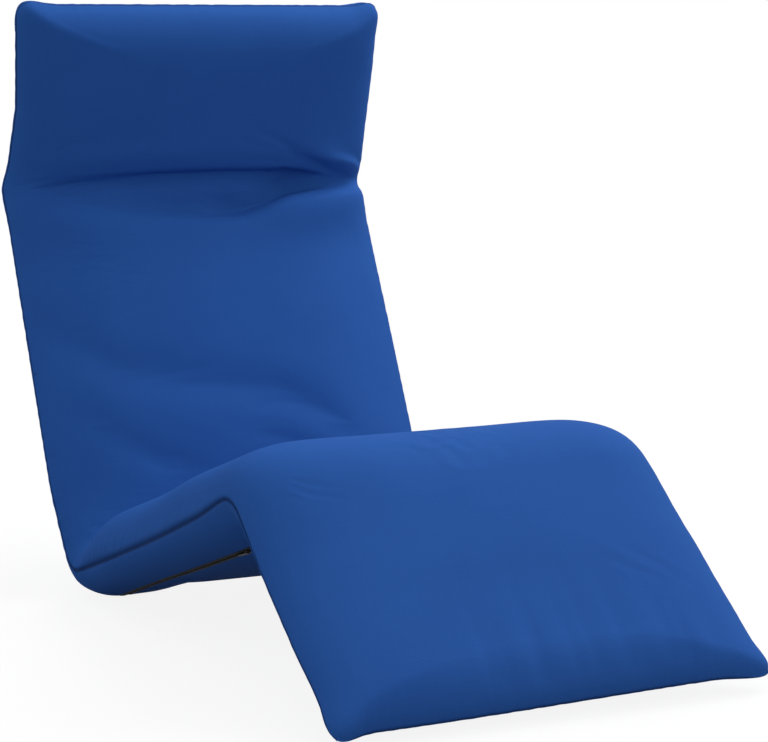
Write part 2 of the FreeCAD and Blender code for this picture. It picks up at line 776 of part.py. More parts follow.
def long_side(section, side, low, high, half_t):
    """Edges of a slab's upper or lower side, swollen or sunk between the section's ends."""
    level = side * half_t
    if not section.swells[side]:
        return [Part.LineSegment(Vector(0, low, level), Vector(0, high, level)).toShape()]
    far = min(section.length.value, high)
    points = [Vector(0, 0, level)]
    for place, rise in section.swells[side]:
        points.append(Vector(0, place.value, level + side * rise.value))
    points.append(Vector(0, far, level))
    curve = Part.BSplineCurve()
    level_ends = {"InitialTangent": Vector(0, 1, 0), "FinalTangent": Vector(0, 1, 0)}
    curve.interpolate(Points=points, **level_ends)
    edges = [Part.LineSegment(Vector(0, low, level), Vector(0, 0, level)).toShape(), curve.toShape()]
    if high > far:
        edges.append(Part.LineSegment(Vector(0, far, level), Vector(0, high, level)).toShape())
    return edges


def rim_edges(block, side, hinged_ends):
    """Edges around a slab's upper or lower side, without those at its hinged ends."""
    around = []
    for face in block.Faces:
        first_u, last_u, first_v, last_v = face.ParameterRange
        normal = face.normalAt((first_u + last_u) / 2, (first_v + last_v) / 2)
        if side * normal.z > LEVEL_FACE:
            around += face.Edges
    rim = []
    for edge in around:
        shared = sum(edge.isSame(other) for other in around) > 1
        box = edge.BoundBox
        hinged = box.YLength < NEAR and any(abs(box.Center.y - end) < NEAR for end in hinged_ends)
        if not shared and not hinged:
            rim.append(edge)
    return rim


def pillow(section, inset):
    """Rounded slab of one section, longer than the section at its hinged ends."""
    half_w = size.pad_width.value / 2 - inset
    half_t = half_pad.value - inset
    extra = size.pad_thickness.value
    low = -extra
    free = section.end is None
    high = section.length.value - inset if free else section.length.value + extra
    hinged_ends = [low] if free else [low, high]
    edges = long_side(section, 1, low, high, half_t) + long_side(section, -1, low, high, half_t)
    for end in (low, high):
        edges.append(Part.LineSegment(Vector(0, end, -half_t), Vector(0, end, half_t)).toShape())
    outline = Part.Face(Part.Wire(Part.__sortEdges__(edges)))
    outline.translate(Vector(-half_w, 0, 0))
    block = outline.extrude(Vector(2 * half_w, 0, 0))
    if free:
        posts = []
        for edge in block.Edges:
            upright = edge.BoundBox.ZLength > half_t and edge.BoundBox.YLength < NEAR
            if upright and abs(edge.BoundBox.Center.y - high) < NEAR:
                posts.append(edge)
        block = block.makeFillet(size.corner_round.value - inset, posts)
    for side, amount in ((section.top, size.top_round), (-section.top, size.under_round)):
        block = block.makeFillet(rounding(amount, inset), rim_edges(block, side, hinged_ends))
    return block


def prism(points):
    """Full-width solid with a given outline of (y, z) points."""
    reach = size.pad_width.value
    corners = [Vector(-reach, y, z) for y, z in list(points) + list(points[:1])]
    return Part.Face(Part.makePolygon(corners)).extrude(Vector(2 * reach, 0, 0))


def chamfer_reach(half_angle):
    """How far along a section a fold plane reaches at the outline's height."""
    return size.pad_thickness.value / math.tan(math.radians(half_angle))


def keep_prism(section):
    """Room of a section's main pad: square outside, folded back inside its hinges."""
    tall = size.pad_thickness.value
    long = section.length.value
    side = section.start_inner
    reach = chamfer_reach(section.start.half_folded())
    points = [(reach, side * tall), (0, 0), (0, -side * tall)]
    if section.end is None:
        points += [(long + tall, -side * tall), (long + tall, side * tall)]
    else:
        reach = chamfer_reach(section.end.half_folded())
        far = [(long, -section.end_inner * tall), (long, 0)]
        far.append((long - reach, section.end_inner * tall))
        if section.end_inner != side:
            far.reverse()
        points += far
    return prism(points)


def wedge_prism(section, hinge):
    """Room of the fold between the folded plane and the middle of the opening."""
    tall = size.pad_thickness.value
    near = chamfer_reach(hinge.half_rest())
    far = chamfer_reach(hinge.half_folded())
    if hinge is section.start:
        side = section.start_inner
        return prism([(0, 0), (near, side * tall), (far, side * tall)])
    side = section.end_inner
    long = section.length.value
    return prism([(long, 0), (long - near, side * tall), (long - far, side * tall)])


def moved(shape, frame):
    """Copy of a shape carried from one frame into another."""
    copy = shape.copy()
    copy.Placement = frame.multiply(copy.Placement)
    return copy


def below(level):
    """Solid that fills the room under a level of the floor."""
    reach = 4 * size.pad_width.value
    return Part.makeBox(2 * reach, 2 * reach, reach, Vector(-reach, -reach, level - reach))


def hinge_rod(hinge, radius, half_width):
    """Round bar along a hinge line."""
    point = Vector(-half_width, hinge.point[0], hinge.point[1])
    return Part.makeCylinder(radius, 2 * half_width, point, Vector(1, 0, 0))


def hinge_pockets(hinge):
    """Room that the two hinges of a hinge line need inside the foam."""
    reach = max(
        math.hypot(ear_side.value, size.pin_out.value),
        math.hypot(size.pin_along.value, ear_top.value),
        size.cheek_radius.value,
    )
    reach += 2 * size.frame_room.value
    half = socket_radius.value + size.frame_room.value
    rooms = []
    for sign in (1, -1):
        across = sign * rail_x.value - half
        point = Vector(across, hinge.point[0], hinge.point[1])
        rooms.append(Part.makeCylinder(reach, 2 * half, point, Vector(1, 0, 0)))
    return rooms


def core_box(section):
    """Flat room for the frame inside a section's foam, in the section's frame."""
    extra = size.pad_thickness.value
    long = section.length.value
    if section.end is None:
        high = long - size.hoop_inset.value + size.tube_radius.value + size.frame_room.value
    else:
        high = long + extra
    corner = Vector(-core_width, -extra, -core_half)
    return Part.makeBox(2 * core_width, high + extra, 2 * core_half, corner)


def outer_arc(hinge, amount, inset):
    """Outside of a fold: the outer half of the pad's outline turned about the hinge line."""
    half_w = size.pad_width.value / 2 - inset
    half_t = half_pad.value - inset
    radius = rounding(amount, inset)
    near = size.hinge_line_relief.value
    knee = radius * (1 - math.sqrt(0.5))
    flat = half_w - radius
    wall = half_t - radius
    right_bend = Part.Arc(
        Vector(half_w, 0, wall),
        Vector(half_w - knee, 0, half_t - knee),
        Vector(flat, 0, half_t),
    )
    left_bend = Part.Arc(
        Vector(-flat, 0, half_t),
        Vector(knee - half_w, 0, half_t - knee),
        Vector(-half_w, 0, wall),
    )
    edges = [
        Part.LineSegment(Vector(half_w, 0, near), Vector(half_w, 0, wall)).toShape(),
        right_bend.toShape(),
        Part.LineSegment(Vector(flat, 0, half_t), Vector(-flat, 0, half_t)).toShape(),
        left_bend.toShape(),
        Part.LineSegment(Vector(-half_w, 0, wall), Vector(-half_w, 0, near)).toShape(),
        Part.LineSegment(Vector(-half_w, 0, near), Vector(half_w, 0, near)).toShape(),
    ]
    face = Part.Face(Part.Wire(edges))
    sweep = 180 - hinge.opening.value
    turned = face.revolve(Vector(0, 0, 0), Vector(1, 0, 0), sweep)
    return moved(turned, frame_at(hinge.point, hinge.parent_angle))


def as_piece(label, shapes, frame):
    """Finished piece from shapes in the shared frame, kept in a section's own frame."""
    local = [moved(shape, frame.inverse()) for shape in shapes]
    solids = []
    for shape in local:
        solids += shape.Solids
    piece = DOC.addObject("Part::Feature", label)
    piece.Shape = Part.makeCompound(solids)
    piece.Placement = frame
    return finished(piece, label)


def make_main_pad(section):
    """Foam and cover of one section between its hinges."""
    fabric = size.cover_thickness.value
    room = fabric + size.cover_gap.value
    keep = moved(keep_prism(section), section.frame)
    lines = []
    for hinge in (section.start, section.end):
        if hinge is not None:
            lines.append(hinge_rod(hinge, size.hinge_line_relief.value, size.pad_width.value))
    outer = moved(pillow(section, 0.0), section.frame).common(keep).cut(below(0.0))
    inner = moved(pillow(section, fabric), section.frame).cut(below(fabric))
    cover = outer.cut(inner)
    foam = moved(pillow(section, room), section.frame).common(keep).cut(below(room))
    foam = foam.cut(moved(core_box(section), section.frame))
    for line in lines:
        cover = cover.cut(line)
    for hinge in (section.start, section.end):
        if hinge is not None:
            for pocket in hinge_pockets(hinge):
                foam = foam.cut(pocket)
    as_piece(f"{section.name}_foam", [foam], section.frame)
    as_piece(f"{section.name}_cover", [cover], section.frame)


def make_fold_pad(hinge, parent, child, amount):
    """Foam and cover of the bend between two sections."""
    fabric = size.cover_thickness.value
    room = fabric + size.cover_gap.value
    line = hinge_rod(hinge, size.hinge_line_relief.value, size.pad_width.value)
    foams, covers = [], []
    for section in (parent, child):
        wedge = moved(wedge_prism(section, hinge), section.frame)
        outer = moved(pillow(section, 0.0), section.frame)
        inner = moved(pillow(section, fabric), section.frame)
        filling = moved(pillow(section, room), section.frame)
        covers.append(outer.cut(inner).common(wedge).cut(line))
        foams.append(filling.common(wedge))
    arc = outer_arc(hinge, amount, 0.0).cut(below(0.0))
    hollow = outer_arc(hinge, amount, fabric).cut(below(fabric))
    covers.append(arc.cut(hollow))
    foams.append(outer_arc(hinge, amount, room).cut(below(room)))
    rooms = hinge_pockets(hinge) + [hinge_rod(hinge, core_half, core_width)]
    rooms += [moved(core_box(section), section.frame) for section in (parent, child)]
    cut_foams = []
    for foam in foams:
        for pocket in rooms:
            foam = foam.cut(pocket)
        cut_foams.append(foam)
    as_piece(f"{hinge.name}_fold_foam", cut_foams, parent.frame)
    as_piece(f"{hinge.name}_fold_cover", covers, parent.frame)


# Zip fastener


def make_zip():
    """Zip tape on the underside of the seat, with its slider."""
    across = size.zip_inset.value - size.pad_width.value / 2
    tape = DOC.addObject("Part::Box", "zip_tape")
    tape.setExpression("Length", size.zip_width.text)
    tape.setExpression("Width", size.zip_length.text)
    tape.setExpression("Height", size.zip_thickness.text)
    corner = Vector(
        across - size.zip_width.value / 2,
        size.zip_start.value,
        half_pad.value,
    )
    spot = FreeCAD.Placement(corner, FreeCAD.Rotation())
    tape.Placement = seat.frame.multiply(spot)
    finished(tape, "zip_tape")
    made = SketchedBody("zip_slider")
    half = size.slider_width * 0.5
    shape = box_points(-half, 0, half, size.slider_length)
    step = made.pad(made.outline("XY_Plane").polygon(shape), size.slider_height)
    step.Midplane = False
    half = size.pull_width * 0.5
    start = size.slider_length * 0.5
    pull = made.outline("XY_Plane", size.slider_height)
    pull.polygon(box_points(-half, start, half, start + size.pull_length))
    pull.circle(0, start + size.pull_length - size.pull_width * 0.6, size.pull_hole)
    step = made.pad(pull, size.pull_thickness)
    step.Midplane = False
    reach = size.zip_start.value + size.zip_length.value - size.slider_length.value
    reach -= size.pull_length.value
    height = half_pad.value + size.zip_thickness.value
    spot = FreeCAD.Placement(Vector(across, reach, height), FreeCAD.Rotation())
    finished(made.place(seat.frame.multiply(spot)), "zip_slider")


# The lounger


for line in (hip_hinge, neck_hinge, knee_hinge):
    make_hinge(line)
for piece in (back, seat):
    make_rail(piece, "left", 1)
    make_rail(piece, "right", -1)
for piece in (head, leg):
    make_hoop(piece)
far_back = size.back_length.value - size.cross_inset.value
far_seat = size.seat_length.value - size.cross_inset.value
make_cross(back, "back_cross_lower", size.cross_inset.value)
make_cross(back, "back_cross_upper", far_back)
make_cross(seat, "seat_cross_rear", size.cross_inset.value)
make_cross(seat, "seat_cross_front", far_seat)
make_cross(leg, "leg_cross", size.cross_inset.value)
for piece in SECTIONS:
    make_studs(piece)
for piece in (back, seat):
    make_straps(piece, size.strap_width, size.strap_count, piece.length - size.strap_inset)
straight = size.leg_length - size.hoop_inset - size.bend_radius
make_straps(leg, size.leg_strap_width, size.leg_strap_count, straight - size.strap_clear)
for piece in SECTIONS:
    make_main_pad(piece)
make_fold_pad(hip_hinge, seat, back, size.under_round)
make_fold_pad(neck_hinge, back, head, size.under_round)
make_fold_pad(knee_hinge, seat, leg, size.top_round)
make_zip()
DOC.recompute()

for thing in DOC.Objects:
    if "Invalid" in thing.State or "Error" in thing.State:
        raise RuntimeError(f"{thing.Label} did not build: {thing.State}")
for thing in FINISHED:
    if thing.Shape.isNull() or not thing.Shape.isValid() or not thing.Shape.Solids:
        raise RuntimeError(f"{thing.Label} is not a sound solid")

os.makedirs("parts", exist_ok=True)
for thing in FINISHED:
    thing.Shape.exportStep(f"parts/{thing.Label}.step")
print(f"wrote {len(FINISHED)} pieces")
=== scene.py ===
"""Dress the folding floor lounger: a padded cover of blue Oxford cloth over a hinged steel frame."""

import json
import logging
import math
from dataclasses import dataclass, field
from enum import Enum

import bmesh
import bpy
import numpy as np
from bpy.types import Material, Mesh, Node, NodeSocket, NodeTree, Object
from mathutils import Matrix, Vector


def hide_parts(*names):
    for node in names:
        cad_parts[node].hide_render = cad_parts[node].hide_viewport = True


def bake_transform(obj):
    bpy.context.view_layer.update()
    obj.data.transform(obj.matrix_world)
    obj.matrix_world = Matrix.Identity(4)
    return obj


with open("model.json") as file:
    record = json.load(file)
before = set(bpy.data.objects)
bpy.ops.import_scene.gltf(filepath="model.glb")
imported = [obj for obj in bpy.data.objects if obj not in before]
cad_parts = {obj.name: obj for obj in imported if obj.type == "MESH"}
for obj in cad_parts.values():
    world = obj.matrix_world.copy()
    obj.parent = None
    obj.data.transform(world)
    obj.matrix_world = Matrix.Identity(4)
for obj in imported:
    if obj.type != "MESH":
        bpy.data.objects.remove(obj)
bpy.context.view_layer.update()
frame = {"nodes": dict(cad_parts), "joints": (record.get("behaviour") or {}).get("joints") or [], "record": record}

Array = np.ndarray
Pattern = tuple[NodeSocket, NodeSocket | None]
LOG = logging.getLogger("lounger")
MM = 0.001
# A wave texture of this scale has its bands one unit apart.
WAVE_SCALE = 0.1 * math.pi
# Sockets of a colour mix: their names also stand for other kinds of data.
MIX_SHARE, MIX_FROM, MIX_TO, MIXED = 0, 6, 7, 2
# How closely a line is followed: points in one blur, and points from end to end.
BLUR_STEPS = 20
FINE_STEPS = 4000
# An uneven wave is some plain waves added up: how many, how their lengths spread, and what levels them.
RIPPLE_WAVES = 7
RIPPLE_SPREAD = (0.6, 1.8)
RIPPLE_LEVEL = 2.6


class Panel(Enum):
    """The two cloth panels of the cover, and the sign of their side of the seam."""

    TOP = 1
    UNDER = -1


class Line(Enum):
    """Lines across the pad that folds and zips are measured from."""

    HEAD_END = 0
    NECK = 1
    HIP = 2
    KNEE = 3
    FOOT_END = 4


TOP, UNDER = Panel
HEAD_END, NECK, HIP, KNEE, FOOT_END = Line


def linear_colour(code: str) -> tuple[float, float, float, float]:
    """Turn an sRGB hex colour into linear light.

    Args:
        code: the colour as "#RRGGBB".

    Returns:
        Red, green, blue and an alpha of one.
    """
    shares = [int(code[start:start + 2], 16) / 255 for start in (1, 3, 5)]
    red, green, blue = [s / 12.92 if s <= 0.04045 else ((s + 0.055) / 1.055) ** 2.4 for s in shares]
    return red, green, blue, 1.0


def add_node(tree: NodeTree, kind: str, inputs: dict | None = None, **settings: object) -> Node:
    """Add a node with its settings, values and links.

    Args:
        tree: node tree that gets the node.
        kind: full type name of the node.
        inputs: socket name or number, with the value or the output socket that feeds it.
        settings: properties of the node itself.

    Returns:
        The new node.
    """
    node = tree.nodes.new(kind)
    for name, value in settings.items():
        setattr(node, name, value)
    for name, value in (inputs or {}).items():
        if isinstance(value, NodeSocket):
            tree.links.new(value, node.inputs[name])
        else:
            node.inputs[name].default_value = value
    return node


def unit(vectors: Array) -> Array:
    """Return the vectors scaled to length one."""
    return vectors / np.maximum(np.linalg.norm(vectors, axis=-1, keepdims=True), 1e-9)


def smooth_share(low: float, high: float, values: Array) -> Array:
    """Return 0 below low, 1 above high and a smooth step between."""
    share = np.clip((values - low) / (high - low), 0, 1)
    return share * share * (3 - 2 * share)


def ripple(values: Array, wave: float, seed: int) -> Array:
    """Make an uneven wave along a line.

    Args:
        values: distances along the line, in mm.
        wave: mean wave length, in mm.
        seed: number that fixes the random draws.

    Returns:
        Heights of about -1 to 1.
    """
    draws = np.random.default_rng(seed)
    total = np.zeros_like(values, dtype=float)
    for _ in range(RIPPLE_WAVES):
        length = wave * draws.uniform(*RIPPLE_SPREAD)
        total += np.sin(2 * math.pi * (values / length + draws.uniform())) / RIPPLE_LEVEL
    return total


def soft_line(places: Array, stops: list[float], values: list[float], blur: float) -> Array:
    """Draw a smooth line near some stops.

    Args:
        places: where the line is wanted.
        stops: places of the stops, in rising order.
        values: heights of the stops.
        blur: how far the corners at the stops are spread.

    Returns:
        Height of the line at every place.
    """
    fine = np.arange(stops[0] - blur, stops[-1] + blur, blur / BLUR_STEPS)
    window = np.hanning(2 * BLUR_STEPS + 1)
    raw = np.pad(np.interp(fine, stops, values), BLUR_STEPS, mode="edge")
    return np.interp(places, fine, np.convolve(raw, window / window.sum(), "valid"))


def denser(values: Array, axis: int, closed: bool) -> Array:
    """Insert a point between each pair of neighbours by the four-point rule.

    Args:
        values: points or numbers in rows and columns.
        axis: direction to make denser.
        closed: whether the last one meets the first.

    Returns:
        The denser array.
    """
    line = np.moveaxis(values, axis, 0)
    if closed:
        padded = np.concatenate([line[-1:], line, line[:2]])
    else:
        padded = np.concatenate([2 * line[:1] - line[1:2], line, 2 * line[-1:] - line[-2:-1]])
    between = (9 * (padded[1:-2] + padded[2:-1]) - padded[:-3] - padded[3:]) / 16
    count = len(line) + len(between)
    result = np.empty((count, *line.shape[1:]))
    result[0::2] = line
    result[1::2] = between
    return np.moveaxis(result, 0, axis)


def new_object(name: str, mesh: Mesh, material: Material | None) -> Object:
    """Link a mesh to the scene as an object at the origin.

    Args:
        name: name of the piece.
        mesh: its mesh, in metres.
        material: finish of its only material slot, or None.

    Returns:
        The object.
    """
    mesh.name = name
    piece = bpy.data.objects.new(name, mesh)
    bpy.context.scene.collection.objects.link(piece)
    if material is not None:
        mesh.materials.clear()
        mesh.materials.append(material)
    return piece


def mirrored(right: list[tuple[float, float]]) -> list[tuple[float, float]]:
    """Return a whole outline from its right half, which runs from end to end."""
    return right + [(-across, other) for across, other in reversed(right)]


def closed_mesh(name: str, shells: list[Array]) -> Mesh:
    """Make a mesh of closed shells.

    Args:
        name: name of the mesh.
        shells: for each shell its rings of points one after the other, in mm.

    Returns:
        The mesh, in metres, with all faces turned outward.
    """
    shape = bmesh.new()
    for rings in shells:
        spots = [[shape.verts.new(place * MM) for place in ring] for ring in rings]
        shape.faces.new(spots[0])
        shape.faces.new(spots[-1])
        for ring, after in zip(spots, spots[1:]):
            for corners in zip(ring, ring[1:] + ring[:1], after[1:] + after[:1], after):
                shape.faces.new(corners)
    bmesh.ops.recalc_face_normals(shape, faces=shape.faces)
    mesh = bpy.data.meshes.new(name)
    shape.to_mesh(mesh)
    shape.free()
    return mesh


def plain_mesh(piece: Object) -> Mesh:
    """Apply all modifiers of a piece.

    Args:
        piece: the piece.

    Returns:
        Its shape, as a mesh of its own.
    """
    bpy.context.view_layer.update()
    graph = bpy.context.evaluated_depsgraph_get()
    return bpy.data.meshes.new_from_object(piece.evaluated_get(graph), depsgraph=graph)


@dataclass(frozen=True)
class Finish:
    """What all finishes have: a colour, a sheen, and a pattern that gives relief and uneven roughness."""

    name: str
    colour: str
    roughness: float
    spread: float = 0.08
    relief: float = 0.03
    gloss: float = 0.5
    metallic: float = 0.0

    def make(self) -> Material:
        """Build the finish, with one pattern for both its relief and its roughness.

        Returns:
            The material.
        """
        material = bpy.data.materials.new(self.name)
        material.use_nodes = True
        tree = material.node_tree
        shader = tree.nodes["Principled BSDF"]
        shader.inputs["Base Color"].default_value = linear_colour(self.colour)
        shader.inputs["Roughness"].default_value = self.roughness
        shader.inputs["Specular IOR Level"].default_value = self.gloss
        shader.inputs["Metallic"].default_value = self.metallic
        height, colour = self.pattern(tree)
        bump = add_node(tree, "ShaderNodeBump",
                        {"Height": height, "Distance": self.relief * MM, "Strength": 1.0})
        tree.links.new(bump.outputs["Normal"], shader.inputs["Normal"])
        ends = {"To Min": self.roughness - self.spread, "To Max": self.roughness + self.spread}
        band = add_node(tree, "ShaderNodeMapRange", {"Value": height, **ends})
        tree.links.new(band.outputs["Result"], shader.inputs["Roughness"])
        if colour is not None:
            tree.links.new(colour, shader.inputs["Base Color"])
        return material

    def pattern(self, tree: NodeTree) -> Pattern:
        """Draw the finish's own pattern.

        Args:
            tree: node tree of the material.

        Returns:
            The pattern's height from 0 to 1, and its colour, or None where the colour is even.
        """
        raise NotImplementedError


@dataclass(frozen=True)
class OxfordCloth(Finish):
    """Plain-woven polyester with a coated back: even blue, soft gloss, fine square weave.

    The weave is drawn at twice its real spacing, so that it shows at all.
    """

    spread: float = 0.07
    relief: float = 0.09
    gloss: float = 0.03
    shade: str = "#27539E"
    # colour of the painted shade in the seam's groove and the zip's channel
    painted_groove_shade: str = "#0C2048"
    thread: float = 1.6
    patch: float = 140.0
    slub: tuple[float, float] = (3.0, 45.0)
    slub_height: float = 0.9

    def pattern(self, tree: NodeTree) -> Pattern:
        """Weave the threads over and under, with slubs and patches of a darker tone, and paint shade into the
        seam's groove and the zip's channel.

        Args:
            tree: node tree of the material.

        Returns:
            Height of the threads, and their colour.
        """
        place = add_node(tree, "ShaderNodeUVMap", uv_map="cloth").outputs["UV"]
        bands = {"Vector": place, "Scale": WAVE_SCALE / (self.thread * MM)}
        warp = add_node(tree, "ShaderNodeTexWave", bands, bands_direction="X")
        weft = add_node(tree, "ShaderNodeTexWave", bands, bands_direction="Y")
        over = add_node(tree, "ShaderNodeTexChecker", {"Vector": place, "Scale": 1 / (self.thread * MM)})
        weave = add_node(tree, "ShaderNodeMix",
                         {"Factor": over.outputs["Fac"],
                          "A": warp.outputs["Fac"], "B": weft.outputs["Fac"]})
        slubs = []
        for stretch in (self.slub, self.slub[::-1]):
            across, along = [1 / (size * MM) for size in stretch]
            turned = add_node(tree, "ShaderNodeMapping", {"Vector": place, "Scale": (across, along, 1.0)})
            noise = add_node(tree, "ShaderNodeTexNoise",
                             {"Vector": turned.outputs["Vector"], "Scale": 1.0, "Detail": 2.0},
                             noise_dimensions="2D")
            slubs.append(noise.outputs["Fac"])
        streaks = add_node(tree, "ShaderNodeMath", {0: slubs[0], 1: slubs[1]}, operation="MULTIPLY")
        height = add_node(tree, "ShaderNodeMath",
                          {0: streaks.outputs[0], 1: self.slub_height, 2: weave.outputs[0]},
                          operation="MULTIPLY_ADD")
        patches = add_node(tree, "ShaderNodeTexNoise",
                           {"Vector": place, "Scale": 1 / (self.patch * MM), "Detail": 3.0},
                           noise_dimensions="2D")
        mottle = add_node(tree, "ShaderNodeMath",
                          {0: patches.outputs["Fac"], 1: streaks.outputs[0]},
                          operation="ADD", use_clamp=True)
        shades = {MIX_FROM: linear_colour(self.shade), MIX_TO: linear_colour(self.colour)}
        cloth = add_node(tree, "ShaderNodeMix", {MIX_SHARE: mottle.outputs[0], **shades}, data_type="RGBA")
        # painted shade: the cloth is mixed toward a dark colour where the seam and the zip's channel sink in,
        # where shade falls
        sunk = add_node(tree, "ShaderNodeAttribute", attribute_name="painted_groove_shade").outputs["Fac"]
        painted_shade_mix = {MIX_SHARE: sunk, MIX_FROM: cloth.outputs[MIXED], MIX_TO: linear_colour(self.painted_groove_shade)}
        colour = add_node(tree, "ShaderNodeMix", painted_shade_mix, data_type="RGBA")
        return height.outputs[0], colour.outputs[MIXED]


@dataclass(frozen=True)
class SpunThread(Finish):
    """Twisted polyester sewing thread: the cloth's blue, a little darker, with fine slanted ridges."""

    spread: float = 0.05
    relief: float = 0.08
    twist: float = 0.7

    def pattern(self, tree: NodeTree) -> Pattern:
        """Slant the ridges of the twist across the thread.

        Args:
            tree: node tree of the material.

        Returns:
            Height of the ridges, and no colour.
        """
        place = add_node(tree, "ShaderNodeTexCoord").outputs["Object"]
        bands = {"Vector": place, "Scale": WAVE_SCALE / (self.twist * MM)}
        ridges = add_node(tree, "ShaderNodeTexWave", bands, bands_direction="DIAGONAL")
        return ridges.outputs["Fac"], None


@dataclass(frozen=True)
class RibbedTape(Finish):
    """Woven tape or webbing: matt, with ribs across its length and uneven wear."""

    spread: float = 0.06
    relief: float = 0.25
    gloss: float = 0.1
    rib: float = 1.0
    uneven: float = 0.4
    direction: str = "Y"
    worn: str = "#26262A"
    # sixty worn patches to the metre
    wear_patch: float = 1000 / 60
    wear_band: tuple[float, float] = (0.45, 0.8)

    def pattern(self, tree: NodeTree) -> Pattern:
        """Set rib beside rib, and wear some of them pale.

        Args:
            tree: node tree of the material.

        Returns:
            Height of the ribs, and their colour.
        """
        place = add_node(tree, "ShaderNodeTexCoord").outputs["Object"]
        bands = {"Vector": place, "Scale": WAVE_SCALE / (self.rib * MM), "Distortion": self.uneven}
        ribs = add_node(tree, "ShaderNodeTexWave", bands, bands_direction=self.direction)
        wear = add_node(tree, "ShaderNodeTexNoise",
                        {"Vector": place, "Scale": 1 / (self.wear_patch * MM), "Detail": 4.0})
        low, high = self.wear_band
        share = add_node(tree, "ShaderNodeMapRange",
                         {"Value": wear.outputs["Fac"], "From Min": low, "From Max": high})
        shades = {MIX_FROM: linear_colour(self.colour), MIX_TO: linear_colour(self.worn)}
        colour = add_node(tree, "ShaderNodeMix", {MIX_SHARE: share.outputs["Result"], **shades},
                          data_type="RGBA")
        return ribs.outputs["Fac"], colour.outputs[MIXED]


@dataclass(frozen=True)
class SatinSkin(Finish):
    """Baked powder coat on tube, paint on a slider or drawn nylon: satin, with fine dimples."""

    dimple: float = 0.9

    def pattern(self, tree: NodeTree) -> Pattern:
        """Dimple the skin.

        Args:
            tree: node tree of the material.

        Returns:
            Height of the dimples, and no colour.
        """
        place = add_node(tree, "ShaderNodeTexCoord").outputs["Object"]
        dimples = add_node(tree, "ShaderNodeTexNoise",
                           {"Vector": place, "Scale": 1 / (self.dimple * MM), "Detail": 2.0})
        return dimples.outputs["Fac"], None


@dataclass(frozen=True)
class BareSteel(Finish):
    """Plated or rolled steel: metal with drawn streaks and cloudy patches of plating."""

    spread: float = 0.1
    relief: float = 0.02
    metallic: float = 1.0
    cloud: str = "#8F918E"
    streak: tuple[float, float, float] = (0.4, 12.0, 0.4)
    patch: float = 9.0

    def pattern(self, tree: NodeTree) -> Pattern:
        """Draw the streaks one way and cloud the plating.

        Args:
            tree: node tree of the material.

        Returns:
            Height of the streaks, and the cloudy colour.
        """
        place = add_node(tree, "ShaderNodeTexCoord").outputs["Object"]
        scale = [1 / (size * MM) for size in self.streak]
        drawn = add_node(tree, "ShaderNodeMapping", {"Vector": place, "Scale": scale})
        streaks = add_node(tree, "ShaderNodeTexNoise",
                           {"Vector": drawn.outputs["Vector"], "Scale": 1.0, "Detail": 3.0})
        clouds = add_node(tree, "ShaderNodeTexVoronoi", {"Vector": place, "Scale": 1 / (self.patch * MM)})
        shades = {MIX_FROM: linear_colour(self.colour), MIX_TO: linear_colour(self.cloud)}
        colour = add_node(tree, "ShaderNodeMix", {MIX_SHARE: clouds.outputs["Distance"], **shades},
                          data_type="RGBA")
        return streaks.outputs["Fac"], colour.outputs[MIXED]


@dataclass(frozen=True)
class Bend:
    """A bend of the pad as seen from the side, in mm."""

    joint: str
    shift: tuple[float, float]
    half: float
    seam_round: float
    top_round: float
    under_round: float

    def hinge(self) -> dict:
        """Return the frame's joint that the pad bends with."""
        return next(joint for joint in frame["joints"] if joint["name"] == self.joint)

    def corner(self) -> Array:
        """Return where the seam would turn if it were not rounded, as (y, z)."""
        return np.array(self.hinge()["pos_m"][1:]) / MM + np.array(self.shift)


@dataclass(frozen=True)
class PathLine:
    """A dense line in the side view, with the arc lengths of its ends and bends."""

    points: Array
    arc: Array
    marks: Array

    def at(self, places: Array) -> Array:
        """Return the (y, z) points at those arc lengths."""
        return np.stack([np.interp(places, self.arc, self.points[:, axis]) for axis in (0, 1)], axis=-1)


@dataclass(frozen=True)
class Trend:
    """A value that changes smoothly along the pad, by stops of (mm past a line, value)."""

    stops: dict[Line, list[tuple[float, float]]]
    blur: float = 50.0

    def at(self, along: Array, marks: Array) -> Array:
        """Follow the value along the pad.

        Args:
            along: arc lengths along the seam.
            marks: arc lengths of the ends and bends.

        Returns:
            The value at every arc length.
        """
        places = [marks[line.value] + past for line, row in self.stops.items() for past, _ in row]
        values = [value for row in self.stops.values() for _, value in row]
        return soft_line(along, places, values, self.blur)


